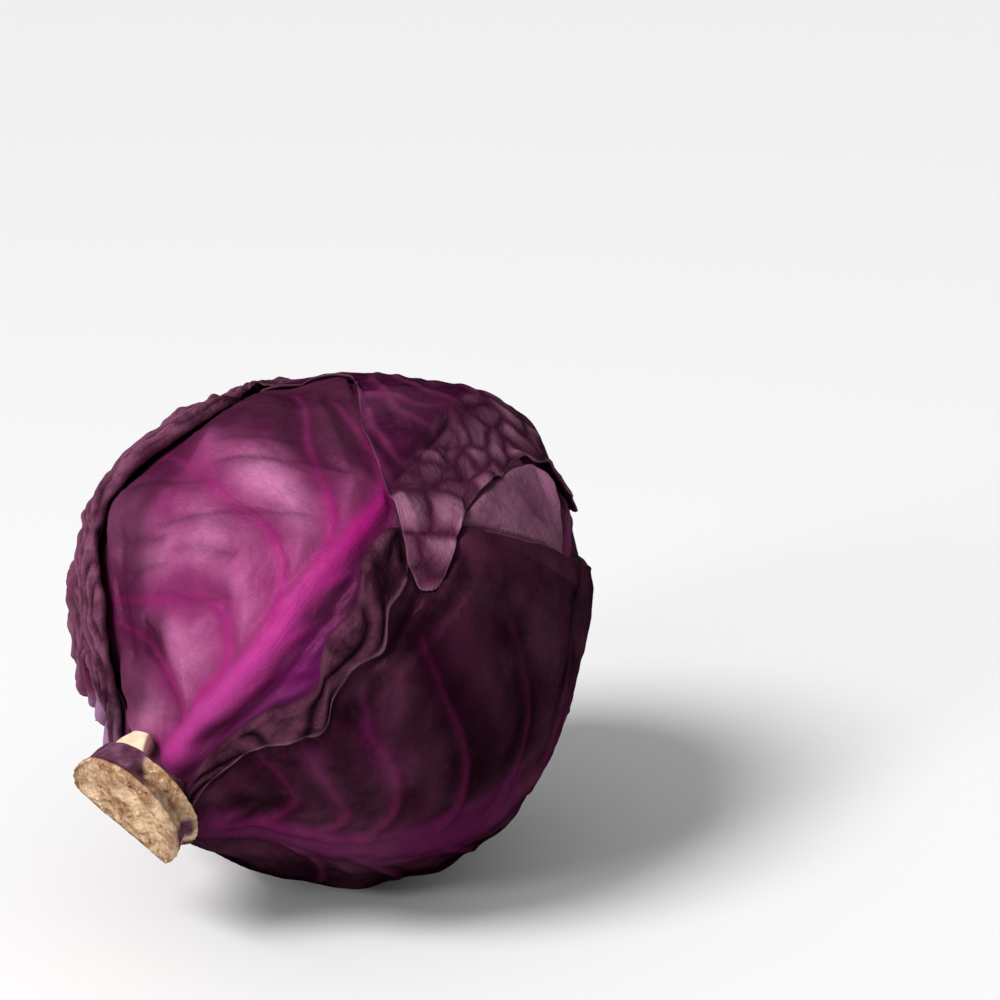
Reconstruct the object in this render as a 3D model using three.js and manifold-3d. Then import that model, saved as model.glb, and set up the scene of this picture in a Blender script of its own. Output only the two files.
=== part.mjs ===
// A red cabbage head lying on its side, in millimetres, +Z up, resting on a small flat spot.
// The stem points towards -X and droops, the apex is raised towards +X. Wrapper leaves are thin
// closed shells, each draped over the ones below it, round a dense heart.
// A place on the head is given by two angles in degrees: reach, from the stem (0) to the apex (180),
// and turn, round the stem axis, from the top (0) by -Y (90) and the underside (180) to +Y (270).
import * as THREE from "three";
import { mergeVertices } from "three/addons/utils/BufferGeometryUtils.js";
import Module from "manifold-3d";

const wasm = await Module();
wasm.setup();

// Driving dimensions of the head
const HEAD_RADIUS = 77.2;
const RADIUS_TERMS = [0.134, 0.048, -0.218];
const STEM_DROOP = 27;
const REST_REACH = 62;
const REST_TURN = 180;
const FLAT_DEPTH = 1.1;

// Driving dimensions of the leaves
const LEAF_THICKNESS = 1.2;
const THICK_LEAF = 1.9;
const LEAF_GAP = 0.9;
const DRAPE_REACH = 8;
const DRAPE_FALL = 20;
const OPEN_FROM = 5;
const OPEN_FULL = 12;
const FOLD_RADIUS = 1.7;
const FOLD_STEPS = 4;

// Relief of a leaf: its midrib, the swell between side veins, and its waved margin
const RIB_EDGE = 4.5;
const RIB_HALF_WIDTH = 6;
const SWELL_HEIGHT = 1.3;
const SIDE_VEINS = 7;
const MARGIN_LIFT = 1.5;
const MARGIN_WAVE = 1.6;
const MARGIN_WAVES = 6;

// Broad unevenness that every layer shares
const UNEVEN_HEIGHT = 0.9;

// Driving dimensions of the stem. It stands a little off the head's axis, and its cut face is D-shaped.
const STEM_START = 76.4;
const STEM_LENGTH = 22;
const STEM_OFFSET_TOP = 7.5;
const STEM_OFFSET_SIDE = -3.6;
const STEM_NECK_RADIUS = 15;
const CUT_LONG_RADIUS = 20.5;
const CUT_ROUND_RADIUS = 25;
const CUT_STRAIGHT_RADIUS = 10.5;
const CUT_ROUND_TURN = 40;

const radians = THREE.MathUtils.degToRad;
const smoothstep = THREE.MathUtils.smoothstep;

// The stem axis and two directions across it
const droop = radians(STEM_DROOP);
const STEM_AXIS = new THREE.Vector3(-Math.cos(droop), 0, -Math.sin(droop));
const TOP_AXIS = new THREE.Vector3(-Math.sin(droop), 0, Math.cos(droop));
const SIDE_AXIS = new THREE.Vector3(0, -1, 0);

function direction(reach, turn) {
  const a = radians(reach);
  const b = radians(turn);
  return new THREE.Vector3()
    .addScaledVector(STEM_AXIS, Math.cos(a))
    .addScaledVector(TOP_AXIS, Math.sin(a) * Math.cos(b))
    .addScaledVector(SIDE_AXIS, Math.sin(a) * Math.sin(b));
}

const REST_DIRECTION = direction(REST_REACH, REST_TURN);

// 0 near the flat spot, so that the skin there stays even, and 1 elsewhere
function awayFromRest(way) {
  return smoothstep(way.angleTo(REST_DIRECTION), radians(14), radians(30));
}

// Distance from the centre to the heart's skin
function heartRadius(way) {
  const c = way.dot(STEM_AXIS);
  const shape = 1 + c * (RADIUS_TERMS[0] + c * (RADIUS_TERMS[1] + c * RADIUS_TERMS[2]));
  const turn = Math.atan2(way.dot(SIDE_AXIS), way.dot(TOP_AXIS));
  const reach = Math.acos(THREE.MathUtils.clamp(c, -1, 1));
  const uneven = Math.sin(3 * turn + 2 * reach) * Math.sin(reach) + 0.6 * Math.sin(5 * turn - 3 * reach + 1);
  const fade = Math.sin(reach) ** 2 * awayFromRest(way);
  return HEAD_RADIUS * shape + UNEVEN_HEIGHT * uneven * fade;
}

// Leaves from the innermost to the outermost. Rows of [reach, turn] run from the stem to the leaf's tip,
// along its left margin, its midrib and its right margin. A fold turns a margin back over the leaf
// between two shares of its length.
const LEAVES = [
  {
    name: "leaf_inner_right",
    colour: 0x5f3048,
    left: [[15, 60], [40, 42], [65, 36], [90, 34], [115, 36], [140, 40], [160, 70]],
    midrib: [[14, 84], [40, 82], [65, 84], [90, 84], [115, 84], [140, 88], [163, 100]],
    right: [[13, 108], [40, 122], [65, 130], [90, 133], [115, 136], [140, 142], [160, 130]],
    ribHeight: 1.6,
  },
  {
    name: "leaf_inner_back",
    colour: 0x4c1c34,
    left: [[12, 184], [40, 160], [70, 148], [100, 146], [130, 150], [152, 172]],
    midrib: [[12, 206], [40, 205], [70, 205], [100, 206], [130, 207], [156, 210]],
    right: [[13, 230], [40, 250], [70, 264], [100, 268], [130, 266], [152, 248]],
    ribHeight: 1.8,
  },
  {
    name: "leaf_front",
    colour: 0xa34382,
    left: [
      [18, -16], [28, -28], [39, -32], [51, -34], [64, -35],
      [77, -35], [90, -34], [105, -30], [120, -22], [132, 2],
    ],
    midrib: [
      [18, 18], [27, 32], [38, 37], [51, 39], [64, 38],
      [77, 38], [90, 37], [105, 36], [120, 36], [135, 36],
    ],
    right: [
      [16, 46], [27, 62], [38, 72], [51, 80], [64, 84],
      [77, 86], [90, 86], [105, 84], [120, 78], [132, 62],
    ],
    ribHeight: 2.6,
  },
  {
    name: "leaf_back",
    colour: 0x561f3d,
    left: [[14, 250], [40, 238], [70, 232], [100, 228], [130, 230], [150, 244]],
    midrib: [[15, 262], [40, 260], [70, 260], [100, 262], [130, 268], [153, 270]],
    right: [[16, 276], [40, 284], [70, 288], [100, 292], [130, 296], [150, 290]],
    ribHeight: 2.0,
  },
  {
    name: "leaf_lower",
    colour: 0x3f1230,
    thickness: THICK_LEAF,
    left: [
      [16, 52], [29, 48], [41, 50], [53, 53], [64, 49], [75, 45],
      [84, 45], [97, 54], [114, 74], [134, 96], [150, 128],
    ],
    midrib: [
      [12, 122], [22, 120], [31, 118], [43, 117], [54, 116], [68, 116],
      [85, 117], [105, 120], [125, 126], [140, 132], [154, 144],
    ],
    right: [
      [12, 186], [25, 198], [38, 204], [52, 207], [64, 208], [78, 208],
      [92, 207], [108, 203], [125, 196], [140, 183], [152, 160],
    ],
    ribHeight: 2.4,
    fold: { side: "left", from: 0.0, to: 0.55, width: 11 },
  },
  {
    name: "leaf_top",
    colour: 0x6b3a58,
    left: [
      [18, 316], [45, 312], [75, 300], [98, 285], [115, 277], [128, 270], [138, 263],
      [146, 254], [150, 243], [150, 230], [148, 216], [146, 200], [145, 184], [147, 168],
    ],
    midrib: [
      [18, 323], [45, 320], [72, 321], [92, 325], [106, 330], [117, 335], [127, 340],
      [136, 346], [145, 352], [153, 360], [161, 372], [169, 395], [173, 460], [164, 490],
    ],
    right: [
      [18.5, 330], [45, 328], [78, 331], [107, 338], [126, 354], [112, 374], [98, 389],
      [87, 402], [79, 416], [96, 409], [115, 409], [133, 415], [144, 430], [152, 458],
    ],
    ribHeight: 1.6,
  },
  {
    name: "leaf_side",
    colour: 0x52243c,
    left: [[15.5, 280], [30, 270], [50, 263], [70, 260], [90, 260], [106, 264], [120, 274], [130, 292]],
    midrib: [[17, 302], [30, 300], [50, 300], [70, 300], [90, 302], [106, 305], [120, 309], [134, 316]],
    right: [[18, 324], [30, 337], [44, 340], [56, 335], [66, 333], [76, 337], [88, 344], [100, 343], [113, 337],
      [127, 328]],
    ribHeight: 2.2,
    fold: { side: "right", from: 0.02, to: 0.7, width: 8 },
  },
];

const ROW_LENGTH = 10.5;
const COLUMN_WIDTH = 10.5;

// A smooth curve on the unit ball through rows of [reach, turn]
function ballCurve(rows) {
  const curve = new THREE.CatmullRomCurve3(rows.map(([reach, turn]) => direction(reach, turn)), false, "catmullrom", 0.5);
  return (share) => curve.getPoint(share).normalize();
}

// The way a share of the angle from one unit vector to another
function between(from, to, share) {
  const angle = from.angleTo(to);
  return new THREE.Vector3()
    .addScaledVector(from, Math.sin((1 - share) * angle) / Math.sin(angle))
    .addScaledVector(to, Math.sin(share * angle) / Math.sin(angle));
}

// The margins and midrib as curves, and the whole outline as a ring of unit vectors
function prepareLeaf(leaf) {
  const curves = { left: ballCurve(leaf.left), midrib: ballCurve(leaf.midrib), right: ballCurve(leaf.right) };
  const steps = 40;
  const ring = [];
  for (let i = 0; i <= steps; i += 1) ring.push(curves.right(i / steps));
  ring.push(curves.midrib(1));
  for (let i = steps; i >= 0; i -= 1) ring.push(curves.left(i / steps));
  const centre = ring.reduce((sum, way) => sum.add(way), new THREE.Vector3()).normalize();
  const columns = { left: columnCount(curves, "left"), right: columnCount(curves, "right") };
  return { thickness: LEAF_THICKNESS, ...leaf, curves, ring, centre, columns, rowCount: rowCount(curves) };
}

// Rows of a leaf from its stem end to its tip, by its longest curve
function rowCount(curves) {
  let longest = 0;
  for (const curve of Object.values(curves)) {
    let length = 0;
    for (let u = 0; u < 0.99; u += 0.02) length += curve(u).angleTo(curve(u + 0.02)) * HEAD_RADIUS;
    longest = Math.max(longest, length);
  }
  return Math.round(longest / ROW_LENGTH) + 1;
}

// Columns on one side of a leaf, by its greatest width
function columnCount(curves, side) {
  let widest = 0;
  for (let u = 0; u <= 1; u += 0.1) {
    widest = Math.max(widest, curves.midrib(u).angleTo(curves[side](u)) * HEAD_RADIUS);
  }
  return Math.max(Math.round(widest / COLUMN_WIDTH), 5);
}

// A flat map round the leaf's centre that keeps distances from that centre
function flatMap(centre) {
  const across = new THREE.Vector3(0, 0, 1).cross(centre).normalize();
  const along = centre.clone().cross(across);
  return (way) => {
    const angle = way.angleTo(centre);
    const x = way.dot(across);
    const y = way.dot(along);
    const scale = angle / Math.max(Math.hypot(x, y), 1e-9);
    return [x * scale, y * scale];
  };
}

// Distance in millimetres that a direction lies outside a leaf's outline, 0 inside it
function outsideLeaf(leaf, way) {
  const toMap = flatMap(leaf.centre);
  const [x, y] = toMap(way);
  leaf.flatRing ??= leaf.ring.map(toMap);
  let inside = false;
  let nearest = Infinity;
  for (let i = 0, j = leaf.ring.length - 1; i < leaf.ring.length; j = i, i += 1) {
    const [x0, y0] = leaf.flatRing[i];
    const [x1, y1] = leaf.flatRing[j];
    if (y0 > y !== y1 > y && x < ((x1 - x0) * (y - y0)) / (y1 - y0) + x0) inside = !inside;
    const start = leaf.ring[i];
    const edge = leaf.ring[j].clone().sub(start);
    const share = THREE.MathUtils.clamp(way.clone().sub(start).dot(edge) / Math.max(edge.lengthSq(), 1e-12), 0, 1);
    nearest = Math.min(nearest, start.clone().addScaledVector(edge, share).distanceTo(way));
  }
  return inside ? 0 : nearest * HEAD_RADIUS;
}

const leaves = LEAVES.map(prepareLeaf);

// Radius of the underside of leaf number k: the heart and every leaf below it
function drapeRadius(k, way) {
  let radius = heartRadius(way) + LEAF_GAP;
  for (let j = 0; j < k; j += 1) {
    const cover = 1 - smoothstep(outsideLeaf(leaves[j], way), DRAPE_REACH, DRAPE_REACH + DRAPE_FALL);
    radius += cover * (leaves[j].thickness + LEAF_GAP);
  }
  return radius;
}

// How far leaf number k is free of leaves above it: 0 under them, 1 in the open
function openness(k, way) {
  let open = awayFromRest(way);
  for (let j = k + 1; j < leaves.length; j += 1) {
    open *= smoothstep(outsideLeaf(leaves[j], way), OPEN_FROM, OPEN_FULL);
  }
  return open;
}

// Distances of the columns from the midrib: the first along the rib's foot, the others even
function columnPlaces(width, columns) {
  const first = Math.min(RIB_EDGE, width / columns);
  const step = (width - first) / (columns - 1);
  return Array.from({ length: columns }, (_, i) => first + i * step);
}

// One side of a leaf's cross-section: distance from the midrib, height and slope of the sheet,
// from the midrib to the margin. The margin folds back where the fold is open.
function crossSection(width, foldWidth, columns) {
  const foldShare = Math.min(foldWidth / 4, 1);
  const turnBack = Math.PI * foldShare;
  const flat = width - FOLD_RADIUS * foldShare;
  const points = columnPlaces(flat, columns).map((x) => ({ x, height: 0, slope: 0 }));
  for (let i = 1; i <= FOLD_STEPS; i += 1) {
    const slope = (turnBack * i) / FOLD_STEPS;
    const x = flat + FOLD_RADIUS * Math.sin(slope);
    points.push({ x, height: FOLD_RADIUS * (1 - Math.cos(slope)), slope });
  }
  const last = points[points.length - 1];
  const back = Math.max(foldWidth - FOLD_RADIUS, 0);
  points.push({
    x: last.x + back * Math.cos(last.slope),
    height: last.height + back * Math.sin(last.slope),
    slope: last.slope,
  });
  return points;
}

// The sheet of one leaf as rows of columns, each with a place on its outer and on its inner face
function leafSheet(leaf, k) {
  const rows = [];
  for (let i = 0; i < leaf.rowCount; i += 1) {
    const u = i / (leaf.rowCount - 1);
    const midrib = leaf.curves.midrib(u);
    const sides = {};
    for (const side of ["left", "right"]) {
      const margin = leaf.curves[side](u);
      const width = midrib.angleTo(margin) * HEAD_RADIUS;
      const place = { u, midrib, margin, width, columns: leaf.columns[side] };
      sides[side] = leaf.fold?.side === side ? foldedSide(leaf, k, place) : plainSide(leaf, k, place);
    }
    const centre = sheetPoint(leaf, k, { u, midrib, margin: midrib, width: 1 }, { x: 0, height: 0, slope: 0 });
    rows.push([...sides.left.reverse(), centre, ...sides.right]);
  }
  return rows;
}

function plainSide(leaf, k, place) {
  const { u, width, columns } = place;
  const fade = Math.sin(Math.PI * u);
  const wave = Math.sin(2 * Math.PI * MARGIN_WAVES * u + k) * fade;
  const scallop = Math.cos(2 * Math.PI * MARGIN_WAVES * u + k) * fade;
  return columnPlaces(width, columns).map((x) => {
    const edge = smoothstep(x / width, 0.78, 1);
    const height = MARGIN_LIFT * (0.6 * fade + wave) * edge;
    return sheetPoint(leaf, k, place, { x: x + MARGIN_WAVE * scallop * edge, height, slope: 0 });
  });
}

function foldedSide(leaf, k, place) {
  const { u, width, columns } = place;
  const { from, to, width: foldWidth } = leaf.fold;
  const opening = smoothstep(u, from, from + 0.12) * (1 - smoothstep(u, to - 0.12, to));
  const size = foldWidth * opening * (0.85 + 0.15 * Math.sin(u * 20));
  return crossSection(width, size, columns).map((point) => sheetPoint(leaf, k, place, point));
}

// One point of the sheet. Lifts, ribs and swells show only where no other leaf lies on top.
function sheetPoint(leaf, k, place, point) {
  const { u, midrib, margin, width } = place;
  const share = point.x / width;
  const way = share === 0 ? midrib.clone() : between(midrib, margin, share);
  const open = openness(k, way);
  const folded = Math.sin(point.slope / 2) ** 2;
  const ribWidth = RIB_HALF_WIDTH * (1 - 0.5 * u);
  const rib = leaf.ribHeight * (1 - 0.75 * u) * Math.exp(-((point.x / ribWidth) ** 2));
  const swellPhase = Math.PI * (SIDE_VEINS * u - 1.2 * share);
  const swell = SWELL_HEIGHT * Math.abs(Math.sin(swellPhase)) * smoothstep(share, 0.1, 0.35);
  const base = drapeRadius(k, way) + leaf.thickness / 2;
  const lift = folded > 0 ? point.height : point.height * open;
  const relief = (rib + swell) * open * (1 - folded);
  const half = leaf.thickness / 2;
  const slide = (half * Math.sin(point.slope)) / HEAD_RADIUS;
  const towards = margin.clone().sub(midrib).normalize();
  const outerWay = way.clone().addScaledVector(towards, -slide).normalize();
  const innerWay = way.clone().addScaledVector(towards, slide).normalize();
  const rise = half * Math.cos(point.slope);
  return {
    outer: outerWay.multiplyScalar(base + lift + rise + relief),
    inner: innerWay.multiplyScalar(base + lift - rise),
  };
}

// A closed shell: the outer sheet, the inner sheet split alike, and the rim between them
function shellGeometry(rows) {
  const rowCount = rows.length;
  const columnCount = rows[0].length;
  const positions = [];
  const place = (i, j, face) => 2 * (i * columnCount + j) + face;
  for (const row of rows) {
    for (const { outer, inner } of row) positions.push(...outer.toArray(), ...inner.toArray());
  }
  const triangles = [];
  for (let i = 0; i < rowCount - 1; i += 1) {
    for (let j = 0; j < columnCount - 1; j += 1) {
      const corners = (face) => [
        place(i, j, face), place(i + 1, j, face), place(i + 1, j + 1, face), place(i, j + 1, face),
      ];
      const [a, b, c, d] = corners(0);
      triangles.push([a, b, c], [a, c, d]);
      const [e, f, g, h] = corners(1);
      triangles.push([e, g, f], [e, h, g]);
    }
  }
  const rim = [];
  for (let j = 0; j < columnCount; j += 1) rim.push([0, j]);
  for (let i = 1; i < rowCount; i += 1) rim.push([i, columnCount - 1]);
  for (let j = columnCount - 2; j >= 0; j -= 1) rim.push([rowCount - 1, j]);
  for (let i = rowCount - 2; i > 0; i -= 1) rim.push([i, 0]);
  rim.forEach(([i, j], index) => {
    const [m, n] = rim[(index + 1) % rim.length];
    triangles.push([place(i, j, 0), place(m, n, 0), place(m, n, 1)]);
    triangles.push([place(i, j, 0), place(m, n, 1), place(i, j, 1)]);
  });
  return closedGeometry(positions, triangles);
}

// Signed volume of a closed mesh, to see which way its faces point
function signedVolume(positions, triangles) {
  const corner = (index) => new THREE.Vector3().fromArray(positions, 3 * index);
  return triangles.reduce((sum, [a, b, c]) => sum + corner(a).dot(corner(b).cross(corner(c))) / 6, 0);
}

function closedGeometry(positions, triangles) {
  const outward = signedVolume(positions, triangles) > 0;
  const ordered = outward ? triangles : triangles.map(([a, b, c]) => [a, c, b]);
  const geometry = new THREE.BufferGeometry();
  geometry.setAttribute("position", new THREE.Float32BufferAttribute(positions, 3));
  geometry.setIndex(ordered.flat());
  return geometry;
}

// A ball-like body from rings round the stem axis, with one point at each end
function ringsGeometry(rings, first, last) {
  const sides = rings[0].length;
  const positions = [...first.toArray()];
  for (const ring of rings) for (const point of ring) positions.push(...point.toArray());
  positions.push(...last.toArray());
  const place = (i, j) => 1 + i * sides + (j % sides);
  const end = 1 + rings.length * sides;
  const triangles = [];
  for (let j = 0; j < sides; j += 1) {
    triangles.push([0, place(0, j), place(0, j + 1)]);
    triangles.push([end, place(rings.length - 1, j + 1), place(rings.length - 1, j)]);
    for (let i = 0; i < rings.length - 1; i += 1) {
      triangles.push([place(i, j), place(i + 1, j), place(i + 1, j + 1)]);
      triangles.push([place(i, j), place(i + 1, j + 1), place(i, j + 1)]);
    }
  }
  return closedGeometry(positions, triangles);
}

function heartGeometry() {
  const ringCount = 19;
  const sides = 36;
  const at = (reach, turn) => {
    const way = direction(reach, turn);
    return way.multiplyScalar(heartRadius(way));
  };
  const rings = [];
  for (let i = 1; i <= ringCount; i += 1) {
    const ring = [];
    for (let j = 0; j < sides; j += 1) ring.push(at((180 * i) / (ringCount + 1), (360 * j) / sides));
    rings.push(ring);
  }
  return ringsGeometry(rings, at(0, 0), at(180, 0));
}

// The stump: a neck, the raised scars of trimmed leaves, and the flared cut end with one straight side.
// Each row is a share of the length, a share of the way from the neck to the cut size, and its roughness.
const STEM_ROWS = [
  [0, 0, 0.02], [0.3, 0.05, 0.03], [0.46, 0.25, 0.04], [0.56, 0.85, 0.05], [0.64, 0.7, 0.05],
  [0.72, 0.45, 0.05], [0.84, 0.75, 0.05], [0.94, 1.0, 0.04], [1.0, 0.95, 0.04],
];

function stemGeometry() {
  const sides = 30;
  const offset = new THREE.Vector3()
    .addScaledVector(TOP_AXIS, STEM_OFFSET_TOP)
    .addScaledVector(SIDE_AXIS, STEM_OFFSET_SIDE);
  const roundTurn = radians(CUT_ROUND_TURN);
  const roundWay = new THREE.Vector3()
    .addScaledVector(TOP_AXIS, Math.cos(roundTurn))
    .addScaledVector(SIDE_AXIS, Math.sin(roundTurn));
  const longWay = STEM_AXIS.clone().cross(roundWay);
  const axisPoint = (along) => STEM_AXIS.clone().multiplyScalar(STEM_START + STEM_LENGTH * along)
    .addScaledVector(offset, 0.55 + 0.45 * along);
  const rings = STEM_ROWS.map(([along, flare, rough]) => {
    const ring = [];
    for (let j = 0; j < sides; j += 1) {
      const turn = (2 * Math.PI * j) / sides;
      const bump = 1 + rough * (Math.sin(3 * turn + 9 * along) + 0.6 * Math.sin(7 * turn + 4 * along));
      const cutAcross = Math.max(CUT_ROUND_RADIUS * Math.cos(turn), -CUT_STRAIGHT_RADIUS);
      const across = THREE.MathUtils.lerp(STEM_NECK_RADIUS * Math.cos(turn), cutAcross, flare);
      const sideways = THREE.MathUtils.lerp(STEM_NECK_RADIUS, CUT_LONG_RADIUS, flare) * Math.sin(turn);
      ring.push(axisPoint(along).addScaledVector(roundWay, across * bump).addScaledVector(longWay, sideways * bump));
    }
    return ring;
  });
  return ringsGeometry(rings, axisPoint(0), axisPoint(1));
}

function toSolid(geometry) {
  const merged = mergeVertices(geometry);
  return new wasm.Manifold(new wasm.Mesh({
    numProp: 3,
    vertProperties: Float32Array.from(merged.attributes.position.array),
    triVerts: Uint32Array.from(merged.index.array),
  }));
}

function fromSolid(solid) {
  const mesh = solid.getMesh();
  const geometry = new THREE.BufferGeometry();
  geometry.setAttribute("position", new THREE.BufferAttribute(mesh.vertProperties, 3));
  geometry.setIndex(new THREE.BufferAttribute(mesh.triVerts, 1));
  return geometry;
}

// The flat spot is left where the lowest part of a leaf is cut off
function cutFlat(geometry) {
  const depth = 20;
  geometry.computeBoundingBox();
  const flatHeight = geometry.boundingBox.min.z + FLAT_DEPTH;
  const block = new THREE.BoxGeometry(200, 200, depth).toNonIndexed();
  block.deleteAttribute("normal");
  block.deleteAttribute("uv");
  block.translate(0, 0, flatHeight - depth / 2);
  return fromSolid(toSolid(geometry).subtract(toSolid(mergeVertices(block))));
}

function material(colour, roughness) {
  return new THREE.MeshStandardMaterial({ color: colour, roughness, metalness: 0, flatShading: true });
}

function addPiece(name, geometry, colour, roughness) {
  const mesh = new THREE.Mesh(geometry, material(colour, roughness));
  mesh.name = name;
  head.add(mesh);
}

const head = new THREE.Group();
addPiece("stem", stemGeometry(), 0xc2a081, 0.8);
addPiece("heart", heartGeometry(), 0x6a2a55, 0.5);
leaves.forEach((leaf, k) => {
  const shell = shellGeometry(leafSheet(leaf, k));
  addPiece(leaf.name, leaf.name === "leaf_lower" ? cutFlat(shell) : shell, leaf.colour, 0.45);
});

// The origin is the middle of the box's underside, which is the plane of the flat spot
const box = new THREE.Box3().setFromObject(head);
const middle = box.getCenter(new THREE.Vector3());
head.position.set(-middle.x, -middle.y, -box.min.z);

export default head;
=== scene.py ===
"""The look of a red cabbage head lying on its side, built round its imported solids. Lengths are in metres.

A place on the head is given by two angles in degrees: reach, from the stem (0) to the apex (180),
and turn, round the stem axis, from the top (0) by -Y (90) and the underside (180) to +Y (270).
"""
import math
from types import SimpleNamespace

import bpy
import numpy as np
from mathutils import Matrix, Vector


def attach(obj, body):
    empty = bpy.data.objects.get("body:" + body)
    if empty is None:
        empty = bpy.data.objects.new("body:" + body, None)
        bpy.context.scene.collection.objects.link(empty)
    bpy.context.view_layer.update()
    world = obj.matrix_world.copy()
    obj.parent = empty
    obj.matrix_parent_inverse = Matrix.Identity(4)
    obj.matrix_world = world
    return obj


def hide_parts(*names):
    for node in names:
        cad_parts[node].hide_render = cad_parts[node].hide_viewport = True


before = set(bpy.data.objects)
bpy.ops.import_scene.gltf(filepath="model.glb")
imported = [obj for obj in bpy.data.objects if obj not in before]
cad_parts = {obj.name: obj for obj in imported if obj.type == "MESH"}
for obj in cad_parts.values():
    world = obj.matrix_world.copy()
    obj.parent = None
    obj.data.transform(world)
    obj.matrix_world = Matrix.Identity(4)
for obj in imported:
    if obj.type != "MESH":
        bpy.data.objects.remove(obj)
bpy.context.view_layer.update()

MM = 0.001

# The head, as the solids have it
HEAD_CENTRE = np.array([4.433, 0.464, 84.757]) * MM
HEAD_RADIUS = 77.2 * MM
RADIUS_TERMS = (0.134, 0.048, -0.218)
STEM_DROOP = 27
REST_REACH = 62
REST_TURN = 180
UNEVEN_HEIGHT = 0.9 * MM

# The leaves
LEAF_THICKNESS = 1.2 * MM
THICK_LEAF = 1.9 * MM
LEAF_GAP = 0.9 * MM
DRAPE_REACH = 4 * MM
DRAPE_FALL = 16 * MM
OPEN_FROM = 0.3 * MM
OPEN_FULL = 2.2 * MM
OUTER_DIP = 1.4 * MM
INNER_DIP = 0.7 * MM
BASE_LIFT = 6.5 * MM
BASE_FROM = 8
BASE_TO = 25
BEND_STEPS = 9
STRIP_START = 0.01
FULL_BEND = 4 * MM

# The relief of a leaf. The height, depth and width of each ridge, fold and furrow are with the leaves
RIB_THINNING = 0.65
VEIN_WIDTH = 0.7 * MM
VEIN_SPREAD = 1.2 * MM
VEIN_FADE = 0.7
SWELL_REACH = 8 * MM
SWELL_LEVEL = 0.2
CELL_WANDER = 0.03
CELL_LEVEL = 0.25
# CELL_CREASE, CREASE_LINE and CREASE_SHADE are widths of painted shade along cell borders and creases
CELL_CREASE = 0.5 * MM
SMOOTH_BLISTER = 0.5
CREASE_DEPTH = 1.8
CREASE_WIDTH = 4.0 * MM
CREASE_LINE = 1.6 * MM
CREASE_SHADE = 6.0 * MM
PLEAT_FADE = 14 * MM
STRIP_RISE = 0.5 * MM
STRIP_DIP = 0.7 * MM
UNDER_STRIP_CALM = 0.8
INNER_SHARE = 0.9
FLAT_SPOT_LEAF = 0.6 * MM

droop = math.radians(STEM_DROOP)
STEM_AXIS = np.array([-math.cos(droop), 0.0, -math.sin(droop)])
TOP_AXIS = np.array([-math.sin(droop), 0.0, math.cos(droop)])
SIDE_AXIS = np.array([0.0, -1.0, 0.0])


def smoothstep(value, low, high):
    share = np.clip((value - low) / (high - low), 0.0, 1.0)
    return share * share * (3.0 - 2.0 * share)


def direction(reach, turn):
    """Unit vectors from the head's centre to places given by reach and turn."""
    a = np.radians(reach)[..., None]
    b = np.radians(turn)[..., None]
    return np.cos(a) * STEM_AXIS + np.sin(a) * (np.cos(b) * TOP_AXIS + np.sin(b) * SIDE_AXIS)


def unit(vectors):
    return vectors / np.linalg.norm(vectors, axis=-1, keepdims=True)


REST_DIRECTION = direction(np.array(float(REST_REACH)), np.array(float(REST_TURN)))


def away_from_rest(ways):
    """0 near the flat spot that the head rests on, 1 elsewhere."""
    angle = np.arccos(np.clip(ways @ REST_DIRECTION, -1, 1))
    return smoothstep(angle, math.radians(14), math.radians(30))


def heart_radius(ways):
    """Distance from the head's centre to the heart's skin."""
    c = np.clip(ways @ STEM_AXIS, -1, 1)
    shape = 1 + c * (RADIUS_TERMS[0] + c * (RADIUS_TERMS[1] + c * RADIUS_TERMS[2]))
    turn = np.arctan2(ways @ SIDE_AXIS, ways @ TOP_AXIS)
    reach = np.arccos(c)
    uneven = np.sin(3 * turn + 2 * reach) * np.sin(reach) + 0.6 * np.sin(5 * turn - 3 * reach + 1)
    return HEAD_RADIUS * shape + UNEVEN_HEIGHT * uneven * np.sin(reach) ** 2 * away_from_rest(ways)


# Small shape tools

def smooth_curve(points, shares):
    """Points at shares 0 to 1 of a smooth curve through a list of points."""
    points = np.asarray(points, float)
    count = len(points)
    place = np.clip(shares, 0, 1) * (count - 1)
    index = np.minimum(place.astype(int), count - 2)
    weight = (place - index)[:, None]
    before = np.where(index[:, None] > 0, points[index - 1], 2 * points[0] - points[1])
    start = points[index]
    end = points[index + 1]
    next_but_one = points[np.minimum(index + 2, count - 1)]
    after = np.where(index[:, None] < count - 2, next_but_one, 2 * points[-1] - points[-2])
    leave = 0.5 * (end - before)
    arrive = 0.5 * (after - start)
    w2 = weight * weight
    w3 = w2 * weight
    return ((2 * w3 - 3 * w2 + 1) * start + (w3 - 2 * w2 + weight) * leave
            + (3 * w2 - 2 * w3) * end + (w3 - w2) * arrive)


def ball_curve(rows, shares):
    rows = np.asarray(rows, float)
    return unit(smooth_curve(direction(rows[:, 0], rows[:, 1]), shares))


def between(starts, ends, shares):
    """The way a share of the angle from one unit vector to another."""
    angle = np.arccos(np.clip(np.sum(starts * ends, -1), -1, 1))[..., None]
    angle = np.maximum(angle, 1e-6)
    shares = shares[..., None]
    mixed = (np.sin((1 - shares) * angle) * starts + np.sin(shares * angle) * ends) / np.sin(angle)
    return unit(mixed)


def bent(starts, guides, ends, shares):
    """The way a share along the curve from one unit vector to another that a guide pulls to its side."""
    shares = shares[..., None]
    return unit((1 - shares) ** 2 * starts + 2 * shares * (1 - shares) * guides + shares ** 2 * ends)


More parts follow.
